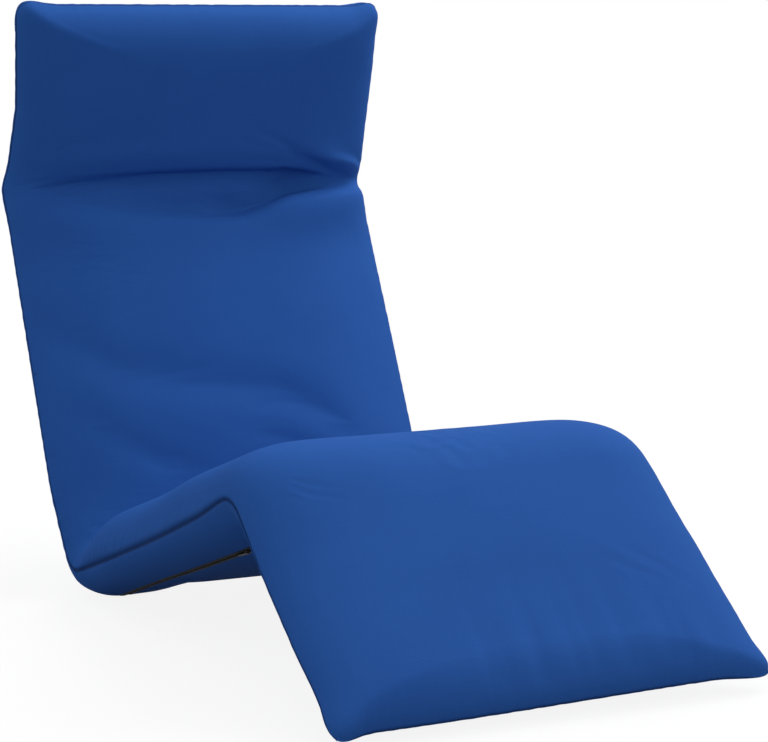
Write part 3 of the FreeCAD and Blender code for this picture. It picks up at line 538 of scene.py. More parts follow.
@dataclass(frozen=True)
class PadProfile:
    """Side view of the stuffed cover: where its seam and its two panels run, in mm."""

    neck: Bend = Bend("neck_tilt", (4.0, -1.0), half=54.0, seam_round=58.0,
                      top_round=30.0, under_round=110.0)
    hip: Bend = Bend("hip_fold", (-4.0, -11.0), half=49.0, seam_round=34.0,
                     top_round=12.0, under_round=84.0)
    knee: Bend = Bend("knee_fold", (-1.0, 0.0), half=62.0, seam_round=52.0,
                      top_round=112.0, under_round=16.0)
    head_end: tuple[float, float] = (446.0, 815.0)
    foot_end: tuple[float, float] = (-537.2, 21.6)
    head_half: float = 54.0
    foot_half: float = 38.0
    head_round: float = 66.0
    foot_round: float = 54.0
    head_power: float = 2.2
    foot_power: float = 2.0
    top_bulge: Trend = Trend({
        HEAD_END: [(0, 0)], NECK: [(0, 0), (150, 5)], HIP: [(-180, 5), (0, 0), (200, -2)],
        KNEE: [(0, 0), (170, 4)], FOOT_END: [(0, 0)],
    }, 90.0)
    under_bulge: Trend = Trend({
        HEAD_END: [(0, 0)], NECK: [(0, 0), (150, 5)], HIP: [(-180, 5), (0, 0), (200, -3)],
        KNEE: [(0, 0), (170, 0)], FOOT_END: [(0, 0)],
    }, 90.0)
    seam_drop: Trend = Trend({
        HEAD_END: [(0, 0)], HIP: [(30, 0), (150, 6), (330, 10), (480, 8)],
        KNEE: [(-35, 1), (40, 4), (120, 5.7)], FOOT_END: [(-80, 0.4), (0, 4)],
    })
    # length drawn past each end, and points in each rounded bend
    spare: float = 60.0
    turn_points: int = 25

    @property
    def bends(self) -> tuple[Bend, Bend, Bend]:
        """The three bends, from head to foot."""
        return self.neck, self.hip, self.knee

    def corners(self) -> Array:
        """Return the five seam points, from the head end to the foot end."""
        return np.array([self.head_end, *(bend.corner() for bend in self.bends), self.foot_end])

    def line(self, panel: Panel | None) -> PathLine:
        """Trace the seam, or the middle of a panel.

        Args:
            panel: the panel, or None for the seam.

        Returns:
            The line, drawn out past both ends by the spare length.
        """
        corners = self.corners()
        travel = unit(np.diff(corners, axis=0))
        normals = np.stack([travel[:, 1], -travel[:, 0]], axis=1)
        if panel is None:
            points = corners
            rounds = [bend.seam_round for bend in self.bends]
        else:
            halves = [self.head_half, *(bend.half for bend in self.bends), self.foot_half]
            first = np.vstack([normals[:1], normals])
            last = np.vstack([normals, normals[-1:]])
            mitre = (first + last) / (1 + (first * last).sum(axis=1))[:, None]
            points = corners + panel.value * mitre * np.array(halves)[:, None]
            top = panel is TOP
            rounds = [bend.top_round if top else bend.under_round for bend in self.bends]
        steps = np.linspace(0, 1, self.turn_points)[:, None]
        pieces = [points[:1] - travel[0] * self.spare, points[:1]]
        middles = [1]
        for before, corner, after, turn in zip(points, points[1:], points[2:], rounds):
            back, ahead = unit(before - corner), unit(after - corner)
            reach = turn / math.tan(math.acos(back @ ahead) / 2)
            curve = (1 - steps) ** 2 * (corner + back * reach) + 2 * steps * (1 - steps) * corner
            pieces.append(curve + steps ** 2 * (corner + ahead * reach))
            middles.append(2 + len(steps) * (len(pieces) - 3) + len(steps) // 2)
        pieces += [points[-1:], points[-1:] + travel[-1] * self.spare]
        dense = np.vstack(pieces)
        lengths = np.linalg.norm(np.diff(dense, axis=0), axis=1)
        arc = np.concatenate([[0], np.cumsum(lengths)]) - self.spare
        return PathLine(dense, arc, arc[[*middles, -2]])

    def end_loss(self, along: Array, total: float) -> Array:
        """Tell how much the pad thins out near its two ends.

        Args:
            along: arc lengths along the seam.
            total: arc length of the foot end.

        Returns:
            Shares from 1 at the end seams to 0 inside.
        """
        head = np.clip(1 - along / self.head_round, 0, 1) ** self.head_power
        return head + np.clip(1 - (total - along) / self.foot_round, 0, 1) ** self.foot_power


@dataclass(frozen=True)
class SoftFold:
    """A soft valley or ridge that runs across a panel through a few points, in mm.

    Each point is (across, along from the line, height), and a height below zero is a valley.
    The fold fades out over one distance toward the head and another toward the foot.
    """

    panel: Panel
    line: Line
    points: tuple[tuple[float, float, float], ...]
    toward_head: float
    toward_foot: float
    blur: float = 30.0

    def height(self, along: Array, across: Array) -> Array:
        """Give the fold's height over the panel.

        Args:
            along: distance from the fold's line, one for each row.
            across: place across the pad, one for each column.

        Returns:
            Heights in rows and columns.
        """
        stops, lines, tops = (list(values) for values in zip(*self.points))
        middle = soft_line(across, stops, lines, self.blur)
        top = soft_line(across, stops, tops, self.blur)
        away = along[:, None] - middle[None, :]
        width = np.where(away < 0, self.toward_head, self.toward_foot)
        return top[None, :] * np.exp(-(away / width) ** 2)


@dataclass
class PadGrid:
    """The cover's cloth as rows along the pad and columns that go once round it, in mm."""

    along: Array
    across: Array
    reach: Array
    side: Array
    points: Array
    marks: Array
    # how far a closing wall is set in from the cloth
    recess: float = 5.0
    # the turn over an end: how far in it reaches, how it curves, and the length it adds
    turn_room: float = 20.0
    turn_curve: float = 75.0
    turn_length: float = 19.0

    @property
    def half(self) -> int:
        """Number of the column at the right seam; columns up to it are the top panel."""
        return len(self.across) // 2

    def partner(self, column: int) -> int:
        """Return the column of the other panel at the same place across."""
        return (len(self.across) - column) % len(self.across)

    def normals(self) -> Array:
        """Find which way the cloth faces.

        Returns:
            The outward direction at every point.
        """
        rows = np.gradient(self.points, axis=0)
        columns = np.roll(self.points, -1, axis=1) - np.roll(self.points, 1, axis=1)
        return unit(np.cross(unit(rows), unit(columns)))

    def from_line(self, line: Line) -> Array:
        """Return how far each row lies past that line."""
        return self.along - self.marks[line.value]

    def seam_gap(self) -> Array:
        """Return the distance over the cloth from every point to the nearest seam.

        Returns:
            Distances in rows and columns, in mm; near an end the cloth's turn over the edge is counted.
        """
        ends = np.minimum(self.along - self.marks[0], self.marks[-1] - self.along)
        turn = np.sqrt(np.maximum(ends, 0) * self.turn_curve)
        turned = np.where(ends < self.turn_room, turn, ends + self.turn_length)
        return np.minimum(turned[:, None], self.reach[None, :])

    def refined(self) -> "PadGrid":
        """Make the cloth finer.

        Returns:
            The same cloth with twice as many rows and columns.
        """
        points = denser(denser(self.points, 0, False), 1, True)
        rows = len(self.along)
        along = np.interp(np.arange(rows * 2 - 1) / 2, np.arange(rows), self.along)
        loops = {}
        for name in ("across", "reach"):
            values = getattr(self, name)
            after = np.roll(values, -1)
            loops[name] = np.stack([values, (values + after) / 2], axis=1).ravel()
        side = self.loop_side(len(self.across) * 2)
        return PadGrid(along, loops["across"], loops["reach"], side, points, self.marks)

    @staticmethod
    def loop_side(count: int) -> Array:
        """Tell which panel each column belongs to.

        Args:
            count: number of columns.

        Returns:
            1 for top columns, -1 for under columns and 0 at the two seams.
        """
        side = np.ones(count)
        side[count // 2:] = -1
        side[[0, count // 2]] = 0
        return side

    def corners_of(self, first: int, last: int) -> tuple[Array, Array]:
        """Number the points of some rows, with both panels sharing the end seams.

        Args:
            first: first row.
            last: last row, included.

        Returns:
            The number of every point in rows and columns, and the flat list of the points used.
        """
        rows, columns = last - first + 1, len(self.across)
        flat = np.arange(first * columns, (last + 1) * columns).reshape(rows, columns)
        twins = [self.partner(column) for column in range(columns)]
        for row, at_end in ((0, first == 0), (-1, last == len(self.along) - 1)):
            if at_end:
                flat[row, self.half + 1:] = flat[row][twins][self.half + 1:]
        used, numbers = np.unique(flat, return_inverse=True)
        return numbers.reshape(rows, columns), used

    def mesh(self, first: int, last: int, closed: bool, painted_groove_shade: Array | None = None) -> Mesh:
        """Make a mesh of some rows.

        Args:
            first: first row.
            last: last row, included.
            closed: whether rows inside the pad get a wall that closes the piece.
            painted_groove_shade: how much painted shade darkens every point, kept as an attribute.

        Returns:
            The mesh, in metres, with a UV map in metres of cloth.
        """
        numbers, used = self.corners_of(first, last)
        columns = len(self.across)
        beside = np.roll(numbers, -1, axis=1)
        quads = np.stack([numbers[:-1], numbers[1:], beside[1:], beside[:-1]], axis=-1)
        faces = quads.reshape(-1, 4).tolist()
        places = [self.points.reshape(-1, 3)[used]]
        walls, rims = [], []
        for row, place, outer, step in ((0, first, 0, 1), (-1, last, len(self.along) - 1, -1)):
            if closed and place != outer:
                ring = sum(map(len, places)) + np.arange(columns)
                places.append(self.points[place] - self.normals()[place] * self.recess)
                rim, inner = np.roll(numbers[row], -1), np.roll(ring, -1)
                walls += np.stack([numbers[row], rim, inner, ring], axis=1)[:, ::step].tolist()
                rims += numbers[row].tolist()
                for column in range(self.half):
                    below = self.partner(column + 1), self.partner(column)
                    cap = [int(ring[spot]) for spot in (column, column + 1, *below)]
                    walls.append(list(dict.fromkeys(cap))[::step])
        mesh = bpy.data.meshes.new("cloth")
        mesh.from_pydata((np.vstack(places) * MM).tolist(), [], faces + walls)
        mesh.polygons.foreach_set("use_smooth", [True] * len(mesh.polygons))
        self.lay_cloth(mesh, first, last)
        if painted_groove_shade is not None:
            # the painted shade along the seam and zip channel goes to the material as a point attribute
            shade = mesh.attributes.new("painted_groove_shade", "FLOAT", "POINT")
            depths = np.zeros(len(mesh.vertices), dtype=np.float32)
            depths[:len(used)] = painted_groove_shade.reshape(-1)[used]
            shade.data.foreach_set("value", depths)
        if rims:
            self.sharpen(mesh, rims)
        return mesh

    def lay_cloth(self, mesh: Mesh, first: int, last: int) -> None:
        """Give the mesh its UV map, in metres along and across the flat cloth.

        Args:
            mesh: the mesh of some rows.
            first: first row.
            last: last row, included.
        """
        middle = self.points[len(self.along) // 2]
        width = np.cumsum(np.linalg.norm(np.diff(middle, axis=0), axis=1))
        width = np.concatenate([[0], width, [width[-1] + width[0]]])
        block = np.zeros((last - first + 1, len(width), 2))
        block[:, :, 0] = width[None, :]
        block[:, :, 1] = self.along[first:last + 1, None]
        corners = [block[:-1, :-1], block[1:, :-1], block[1:, 1:], block[:-1, 1:]]
        flat = np.stack(corners, axis=2).reshape(-1, 2) * MM
        values = np.zeros((len(mesh.loops), 2))
        values[:len(flat)] = flat
        mesh.uv_layers.new(name="cloth").data.foreach_set("uv", values.ravel())

    @staticmethod
    def sharpen(mesh: Mesh, rims: list[int]) -> None:
        """Mark the rims of the closing walls sharp, so that they don't shade the cloth.

        Args:
            mesh: the closed mesh.
            rims: numbers of the points on the rims.
        """
        pairs = np.zeros(len(mesh.edges) * 2, dtype=int)
        mesh.edges.foreach_get("vertices", pairs)
        on_rim = np.isin(pairs.reshape(-1, 2), rims).all(axis=1)
        mark = mesh.attributes.new("sharp_edge", "BOOLEAN", "EDGE")
        mark.data.foreach_set("value", on_rim)


@dataclass(frozen=True)
class Stuffing:
    """How the cloth settles over the foam in the simulation."""

    steps: int = 12
    pressure: float = 3.0
    stretch: float = 30.0
    bending: float = 1.5
    grip: float = 0.35
    slack: float = 0.07
    # the most that the cloth moves out and in, in mm
    outward: float = 9.0
    inward: float = 5.0
    # steps in which a point's weights are given
    levels: int = 50
    quality: int = 4
    mass: float = 0.3

    def settle(self, grid: PadGrid, hold: Array, slack: Array) -> Array:
        """Blow the cover up over its foam.

        Args:
            grid: the cover as cut and filled.
            hold: how firmly the foam or a seam holds each point, from 0 to 1.
            slack: where the cloth is cut too long for its foam, from 0 to 1.

        Returns:
            How far each point moves, in mm.
        """
        last = len(grid.along) - 1
        numbers, used = grid.corners_of(0, last)
        piece = new_object("cloth_in_simulation", grid.mesh(0, last, False), None)
        for name, weights in (("hold", hold), ("slack", slack)):
            group = piece.vertex_groups.new(name=name)
            levels = np.round(weights.reshape(-1)[used] * self.levels).astype(int)
            for level in np.unique(levels):
                group.add(np.flatnonzero(levels == level).tolist(), level / self.levels, "REPLACE")
        cloth = piece.modifiers.new("stuffing", "CLOTH")
        settings = cloth.settings
        settings.quality = self.quality
        settings.mass = self.mass
        settings.tension_stiffness = self.stretch
        settings.compression_stiffness = self.stretch
        settings.shear_stiffness = self.stretch / 2
        settings.bending_stiffness = self.bending
        settings.use_pressure = True
        settings.uniform_pressure_force = self.pressure
        settings.vertex_group_mass = "hold"
        settings.pin_stiffness = self.grip
        settings.vertex_group_shrink = "slack"
        settings.shrink_min = 0.0
        settings.shrink_max = -self.slack
        settings.effector_weights.gravity = 0.0
        scene = bpy.context.scene
        for step in range(1, self.steps + 1):
            scene.frame_set(step)
        shaped = piece.evaluated_get(bpy.context.evaluated_depsgraph_get()).data
        places = np.zeros(len(shaped.vertices) * 3)
        shaped.vertices.foreach_get("co", places)
        scene.frame_set(1)
        moved = (places.reshape(-1, 3) / MM)[numbers] - grid.points
        bpy.data.objects.remove(piece)
        outward = grid.normals()
        lift = (moved * outward).sum(axis=-1)
        LOG.info("cloth moved %.1f to %.1f mm", lift.min(), lift.max())
        limit = np.where(lift > 0, self.outward, self.inward)
        return (limit * np.tanh(lift / limit))[..., None] * outward


@dataclass(frozen=True)
class Gathers:
    """Small gathers that run up the leg from its end seam, in mm."""

    count: int = 11
    depth: float = 1.9
    length: float = 85.0
    span: tuple[float, float] = (-90.0, 215.0)
    stray: float = 14.0
    widths: tuple[float, float] = (7.0, 13.0)
    length_shares: tuple[float, float] = (0.6, 1.2)
    depth_shares: tuple[float, float] = (0.5, 1.0)
    start: float = 20.0
    clear: float = 25.0

    def height(self, grid: PadGrid, seed: int) -> Array:
        """Give the height of the gathers over the cover.

        Args:
            grid: the cover.
            seed: number that fixes the random draws.

        Returns:
            Heights in rows and columns, in mm.
        """
        draws = np.random.default_rng(seed)
        height = np.zeros(grid.points.shape[:2])
        from_end = -grid.from_line(FOOT_END)
        stray = draws.uniform(-self.stray, self.stray, self.count)
        for place in np.linspace(*self.span, self.count) + stray:
            width = draws.uniform(*self.widths)
            length = self.length * draws.uniform(*self.length_shares)
            rise = np.exp(-((from_end - self.start) / length) ** 2) * smooth_share(0, self.clear, from_end)
            line = np.exp(-((grid.across - place) / width) ** 2) * (grid.side == TOP.value)
            height -= self.depth * draws.uniform(*self.depth_shares) * rise[:, None] * line[None, :]
        return height


@dataclass
class PaddedCover:
    """The cover with its foam, in mm: two panels of cloth sewn together along the edge of the pad."""

    profile: PadProfile = field(default_factory=PadProfile)
    stuffing: Stuffing = field(default_factory=Stuffing)
    gathers: Gathers = field(default_factory=Gathers)
    half_width: float = 280.0
    side_power: float = 5.6
    # rows and columns of the cloth, closer near the ends, the bends, the seams and the zip
    row_step: float = 8.0
    end_crowd: float = 0.16
    bend_crowd: float = 0.5
    bend_crowd_reach: tuple[float, float] = (40.0, 110.0)
    column_step: float = 8.0
    seam_columns: tuple[float, ...] = (0.0, 2.0, 4.5, 8.0, 13.0)
    first_column: float = 20.0
    zip_columns: tuple[float, ...] = (0.0, 4.0, 6.5, 9.5)
    zip_clear: float = 2.6
    # corners, rounded, plump and drawn out into ears by (along, across)
    corner_round: float = 32.0
    corner_fill: float = 0.8
    corner_power: float = 6.0
    ear_width: float = 27.0
    head_ear: tuple[float, float] = (13.0, 4.0)
    foot_ear_left: tuple[float, float] = (15.0, 7.0)
    foot_ear_right: tuple[float, float] = (13.0, 19.0)
    # the foot end, raised toward its right corner and firmly packed
    foot_lift: float = 6.0
    lift_length: float = 160.0
    lift_from: float = -0.7
    foot_firm: float = 0.8
    foot_packed: float = 120.0
    # how far the cover is let down, and how softly the floor flattens it
    sink: float = 5.5
    floor_round: float = 2.0
    # how far the sewn edges stray outward
    left_sway: Trend = Trend({
        HEAD_END: [(0, 6), (70, 1), (150, -5)], NECK: [(-30, 0), (2, 8), (60, 5), (300, 7)],
        HIP: [(-120, 8), (0, 0), (50, -3), (120, 0)], FOOT_END: [(-110, 0), (-45, -4), (0, -4)],
    }, 16.0)
    right_sway: Trend = Trend({
        HEAD_END: [(0, -1), (30, -3), (90, 0)],
        NECK: [(-70, 1), (-25, 4), (2, -1), (28, -1), (90, 3), (250, 5)], HIP: [(-120, 6), (60, 2)],
        KNEE: [(20, 6), (150, 16)], FOOT_END: [(-50, 16), (0, 13)],
    }, 16.0)
    sway_width: float = 70.0
    # how a panel rises from its seams, with the seat's higher side edges
    top_power: Trend = Trend({
        HEAD_END: [(0, 5.6)], NECK: [(0, 5.2), (120, 3.5)], HIP: [(-60, 3.5), (60, 5.6)],
        KNEE: [(0, 5.6), (120, 4.7)], FOOT_END: [(0, 4.7)],
    })
    edge_rise: Trend = Trend({
        HIP: [(-20, 0), (45, 35), (110, 32), (220, 37), (330, 40)], KNEE: [(-90, 19), (20, 0)],
    })
    edge_power: float = 2.5
    top_bow: Trend = Trend({
        HEAD_END: [(0, 0.5)], NECK: [(30, 0.5), (110, 0.78)], HIP: [(-90, 0.78), (20, 0.5)],
        KNEE: [(40, 0.5), (120, 0.58)], FOOT_END: [(0, 0.5)],
    })
    under_bow: Trend = Trend({
        HEAD_END: [(0, 0.5)], KNEE: [(-50, 0.5), (60, 0.9)], FOOT_END: [(0, 1.0)],
    })
    # the sunk seam with its painted shade, its lips and its puckers
    seam_depth: float = 2.2
    seam_width: float = 2.2
    shade_width: float = 3.6
    seam_shade: float = 0.75
    lip_height: float = 0.5
    lip_place: float = 5.5
    lip_width: float = 4.5
    pucker: float = 0.3
    pucker_wave: float = 24.0
    pucker_start: tuple[float, float] = (1.0, 7.0)
    pucker_fade: float = 18.0
    end_band: float = 40.0
    cut_calm: tuple[float, float] = (4.0, 36.0)
    # the zip's channel, across from the middle and along from the hip, with its painted shade
    zip_place: float = -218.0
    zip_span: tuple[float, float] = (36.0, 512.0)
    zip_lips: float = 7.0
    zip_lip_round: float = 1.5
    zip_run_out: float = 8.0
    zip_depth: float = 0.8
    zip_shade: float = 0.6
    # how firmly the cloth is held, and where it is cut long
    loose_hold: float = 0.12
    seam_hold: float = 0.88
    seam_hold_width: float = 9.0
    even_slack: float = 0.15
    # each row is a line, how far past it the slack lies, how far it spreads, and its share
    long_cloth: tuple[tuple[Line, float, float, float], ...] = (
        (NECK, 0.0, 70.0, 1.0), (HIP, -230.0, 110.0, 0.6), (HIP, 60.0, 120.0, 0.8),
        (KNEE, 0.0, 60.0, 0.3),
    )
    # how far from its hinge line a piece of the cover would bend
    bend_reach: float = 135.0
    hip_reach: float = 66.0
    folds: tuple[SoftFold, ...] = (
        # the sharp crease under the headrest, and the hollow below it
        SoftFold(TOP, NECK, (
            (-276, 2, 0), (-235, 1, -4), (-80, -9, -8), (40, -11, -9), (150, -5, -9), (200, -1, -7),
            (240, 3, -6), (265, 5, -8), (282, 8, -5),
        ), 9.0, 15.0),
        SoftFold(TOP, NECK, (
            (-276, 18, 0), (-180, 26, -11), (-60, 36, -21), (40, 42, -21), (110, 42, 0),
        ), 42.0, 26.0),
        SoftFold(TOP, NECK, (
            (0, 50, 0), (60, 42, -12), (105, 28, -22), (137, 15, -24), (170, 13, -21), (205, 11, -11),
            (240, 6, -11), (268, -1, -10), (282, -6, -4),
        ), 34.0, 13.0, 16.0),
        # the roll above the crease and the ridge below it
        SoftFold(TOP, NECK, (
            (-280, -34, 0), (-60, -46, 3), (130, -44, 3), (200, -40, 3), (250, -30, 0),
        ), 18.0, 14.0),
        SoftFold(TOP, NECK, (
            (150, -36, 0), (215, -30, 6), (250, -22, 8), (272, -12, 6), (282, -6, 2),
        ), 10.0, 11.0),
        SoftFold(TOP, NECK, (
            (-280, 60, 0), (-60, 66, 0), (60, 66, 4), (110, 58, 8), (180, 46, 10), (235, 36, 10),
            (282, 18, 3),
        ), 24.0, 40.0),
        # slack folds low on the back
        SoftFold(TOP, HIP, (
            (-268, -350, 0), (-244, -310, -4), (-180, -256, -6), (-81, -224, -7), (60, -198, -8),
            (130, -160, -7), (200, -110, 0),
        ), 38.0, 38.0),
        SoftFold(TOP, HIP, (
            (-250, -200, 0), (-217, -172, -4), (-137, -92, -5), (-50, -60, 0),
        ), 32.0, 32.0),
        SoftFold(TOP, HIP, ((-40, -150, 0), (30, -128, -3), (90, -100, -3), (150, -80, 0)), 22.0, 26.0),
        # the seat pressed up beside the hip, and its underside drawn up by the zip
        SoftFold(TOP, HIP, ((-282, 74, 8), (0, 74, 12), (282, 74, 8)), 52.0, 110.0),
        SoftFold(UNDER, HIP, (
            (-280, 40, 0), (-235, 40, 0), (-200, 40, -7), (-140, 40, -20), (140, 40, -20),
            (200, 40, -7), (235, 40, 0), (280, 40, 0),
        ), 80.0, 230.0),
    )
    fold_clear: float = 16.0
    seed: int = 4

    def rows(self, total: float, bends: Array) -> Array:
        """Choose where the rows lie: closer near the ends and the bends.

        Args:
            total: arc length of the foot end.
            bends: arc lengths of the bends.

        Returns:
            Arc lengths from 0 to the total.
        """
        fine = np.linspace(0, total, FINE_STEPS)
        room = np.clip(np.minimum(fine, total - fine) / self.profile.head_round, 0, 1)
        ends = np.maximum(np.sqrt(1 - (1 - room) ** 2), self.end_crowd)
        near = np.abs(fine[:, None] - bends[None, :]).min(axis=1)
        wide = self.bend_crowd + (1 - self.bend_crowd) * smooth_share(*self.bend_crowd_reach, near)
        crowd = np.cumsum(1 / (self.row_step * ends * wide))
        crowd -= crowd[0]
        count = math.ceil(crowd[-1])
        return np.interp(np.linspace(0, crowd[-1], count + 1), crowd, fine)

    def columns(self) -> tuple[Array, Array]:
        """Choose where the columns lie across a panel: closer near the seams and the zip.

        Returns:
            Shares of the half width from -1 to 1, and the distances over the cloth to the nearer seam.
        """
        # The fine steps crowd at the seam, where the side is steep.
        share = 1 - np.linspace(0, 1, FINE_STEPS) ** 3
        rise = self.profile.neck.half * np.sqrt(1 - share ** self.side_power)
        steps = np.hypot(np.diff(share * self.half_width), np.diff(rise))
        reach = np.concatenate([[0], np.cumsum(steps)])
        count = round((reach[-1] - self.first_column) / self.column_step)
        inner = np.linspace(self.first_column, reach[-1], count + 1)
        places = np.concatenate([self.seam_columns, inner])
        right = np.interp(places, reach, share)
        shares = np.concatenate([-right[:-1], [0.0], right[:-1][::-1]])
        zips = [self.zip_place + gap * sign for gap in self.zip_columns for sign in (-1, 1)]
        zips = np.unique(zips) / self.half_width
        clear = np.abs(shares[:, None] - zips[None, :]).min(axis=1) > self.zip_clear / self.half_width
        shares = np.sort(np.concatenate([shares[clear], zips]))
        return shares, np.interp(np.abs(shares), share[::-1], reach[::-1])

    def plan(self, along: Array, shares: Array, total: float) -> tuple[Array, Array]:
        """Round the four corners of the flat cover and draw them out into ears.

        Args:
            along: arc length of every row.
            shares: place of every column as a share of the half width.
            total: arc length of the foot end.

        Returns:
            Arc length and place across, in mm, in rows and columns.
        """
        foot = along > total / 2
        ends = np.where(foot, total - along, along)[:, None]
        sides = self.half_width * (1 - np.abs(shares))[None, :]
        # Points near a corner move in, so that the square corner turns round.
        near_end = np.clip(1 - ends / self.corner_round, 0, 1)
        near_side = np.clip(1 - sides / self.corner_round, 0, 1)
        ends = ends + self.corner_round * near_end * (1 - np.sqrt(1 - near_side ** 2 / 2))
        sides = sides + self.corner_round * near_side * (1 - np.sqrt(1 - near_end ** 2 / 2))
        ear = np.exp(-(ends ** 2 + sides ** 2) / self.ear_width ** 2)
        foot_ears = np.where(shares[:, None] < 0, self.foot_ear_left, self.foot_ear_right)
        ears = np.where(foot[:, None, None], foot_ears[None], np.array(self.head_ear)) * ear[..., None]
        ends, sides = ends - ears[..., 0], sides - ears[..., 1]
        places = np.where(foot[:, None], total - ends, ends)
        return places, np.sign(shares) * (self.half_width - sides)

    def thickness(self, panel: Panel, along: Array, shares: Array, marks: Array) -> Array:
        """Tell how much of a panel's thickness is left toward the edges, with plump corners.

        Args:
            panel: the panel; the under panel leaves the leg's seam at a slant.
            along: arc length of every row.
            shares: place of every column as a share of the half width.
            marks: arc lengths of the ends and bends.

        Returns:
            Shares of the full thickness in rows and columns.
        """
        power, bow = np.full(len(along), self.side_power), self.under_bow.at(along, marks)
        if panel is TOP:
            power, bow = self.top_power.at(along, marks), self.top_bow.at(along, marks)
        ends = self.profile.end_loss(along, marks[-1])[:, None]
        sides = np.abs(shares)[None, :] ** power[:, None]
        both = sides ** self.corner_power + ends ** self.corner_power
        plump = np.minimum(both ** (1 / self.corner_power), 1)
        plain = sides + ends - sides * ends
        left = 1 - self.corner_fill * plump - (1 - self.corner_fill) * plain
        return np.maximum(left, 0) ** bow[:, None]

    def cut(self) -> PadGrid:
        """Lay out the filled cover before its cloth settles.

        Returns:
            The cover's grid.
        """
        seam = self.profile.line(None)
        total = seam.marks[-1]
        along = self.rows(total, seam.marks[1:-1])
        shares, reach = self.columns()
        places, across = self.plan(along, shares, total)
        bulges = {TOP: self.profile.top_bulge, UNDER: self.profile.under_bulge}
        lines = {panel: self.profile.line(panel) for panel in Panel}
        past_end = np.minimum(places, 0) + np.maximum(places - total, 0)
        outer = {panel: line.at(np.interp(places, seam.marks, line.marks) + past_end)
                 for panel, line in lines.items()}
        middle = seam.at(places)
        drop = self.profile.seam_drop.at(along, seam.marks)
        middle = middle + unit(outer[UNDER] - middle) * drop[:, None, None]
        panels = {}
        for panel in Panel:
            out = outer[panel] - middle
            bulge = bulges[panel].at(along, seam.marks)[:, None]
            if panel is TOP:
                rise = self.edge_rise.at(along, seam.marks)[:, None]
                bulge = bulge + rise * np.abs(shares)[None, :] ** self.edge_power
            out = out * (1 + bulge / np.linalg.norm(out, axis=-1))[..., None]
            flat = middle + out * self.thickness(panel, along, shares, seam.marks)[..., None]
            panels[panel] = np.concatenate([across[..., None], flat], axis=-1)
        toward_foot = smooth_share(total - self.lift_length, total, along)[:, None]
        lift = toward_foot * smooth_share(self.lift_from, 1.0, shares)[None, :]
        for points in panels.values():
            points[..., 0] += self.sway(along, shares, seam.marks)
            points[..., 2] += self.foot_lift * lift
        points = np.concatenate([panels[TOP], panels[UNDER][:, -2:0:-1]], axis=1)
        loop = np.concatenate([shares, shares[-2:0:-1]]) * self.half_width
        gaps = np.concatenate([reach, reach[-2:0:-1]])
        return PadGrid(along, loop, gaps, PadGrid.loop_side(len(loop)), points, seam.marks)

    def sway(self, along: Array, shares: Array, marks: Array) -> Array:
        """Tell how far the sewn edges stray from straight lines.

        Args:
            along: arc length of every row.
            shares: place of every column as a share of the half width.
            marks: arc lengths of the ends and bends.

        Returns:
            Shift across the pad in rows and columns, in mm.
        """
        shift = np.zeros((len(along), len(shares)))
        for sign, stops in ((-1, self.left_sway), (1, self.right_sway)):
            edge = stops.at(along, marks)
            near = 1 - smooth_share(0, self.sway_width, self.half_width * (1 - sign * shares))
            shift += sign * edge[:, None] * near[None, :]
        return shift

    def press(self, points: Array) -> Array:
        """Flatten what would sink into the floor.

        Args:
            points: points in mm.

        Returns:
            The points, none of them under the floor.
        """
        pressed = points.copy()
        height = points[..., 2]
        pressed[..., 2] = (height + np.sqrt(height ** 2 + self.floor_round ** 2)) / 2
        return pressed

    def crease(self, grid: PadGrid) -> Array:
        """Add up the folds and gathers that lie in the cloth.

        Args:
            grid: the cover.

        Returns:
            Height of every point over the smooth cover, in mm.
        """
        height = np.zeros(grid.points.shape[:2])
        for fold in self.folds:
            on_panel = (grid.side == fold.panel.value) | (grid.side == 0)
            height += fold.height(grid.from_line(fold.line), grid.across) * on_panel[None, :]
        height += self.gathers.height(grid, self.seed)
        return height * smooth_share(0, self.fold_clear, grid.seam_gap())

    def zip_channel(self, grid: PadGrid) -> Array:
        """Tell how far the cloth is folded in beside the zip.

        Args:
            grid: the cover.

        Returns:
            Shares from 0 away from the zip to 1 in its channel.
        """
        past = grid.from_line(HIP)
        start, end = self.zip_span
        rows = smooth_share(start - self.zip_run_out, start, past)
        rows = rows * (1 - smooth_share(end, end + self.zip_run_out, past))
        off = np.abs(grid.across - self.zip_place)
        inner, outer = self.zip_lips - self.zip_lip_round, self.zip_lips + self.zip_lip_round
        columns = (1 - smooth_share(inner, outer, off)) * (grid.side == UNDER.value)
        return rows[:, None] * columns[None, :]

    def sew(self, grid: PadGrid) -> tuple[Array, Array]:
        """Sink the seam between its lips, pucker the cloth beside it, sink the zip, and paint shade along the seam
        and in the zip's channel.

        Args:
            grid: the settled cover.

        Returns:
            Height of every point, in mm, and how much painted shade darkens the cloth there, from 0 to 1.
        """
        gap = grid.seam_gap()
        sunk = np.exp(-(gap / self.seam_width) ** 2)
        lips = np.exp(-((gap - self.lip_place) / self.lip_width) ** 2)
        beside_sides = np.broadcast_to(grid.along[:, None], gap.shape)
        beside_ends = np.broadcast_to(grid.across[None, :], gap.shape)
        near_end = np.minimum(grid.along, grid.marks[-1] - grid.along)[:, None] < self.end_band
        wave = np.where(near_end, ripple(beside_ends, self.pucker_wave, self.seed + 2),
                        ripple(beside_sides, self.pucker_wave, self.seed + 1))
        calm = np.ones(len(grid.along))
        for cut in self.cuts(grid):
            calm *= smooth_share(*self.cut_calm, np.abs(grid.along - grid.along[cut]))
        pucker = self.pucker * wave * np.exp(-gap / self.pucker_fade)
        pucker = pucker * smooth_share(*self.pucker_start, gap) * calm[:, None]
        channel = self.zip_channel(grid)
        height = pucker + self.lip_height * lips - self.seam_depth * sunk - self.zip_depth * channel
        # painted shade along the seam and in the zip's channel, in place of the shade that falls in them
        shade = self.seam_shade * np.exp(-(gap / self.shade_width) ** 2) + self.zip_shade * channel
        return height, np.clip(shade, 0, 1)

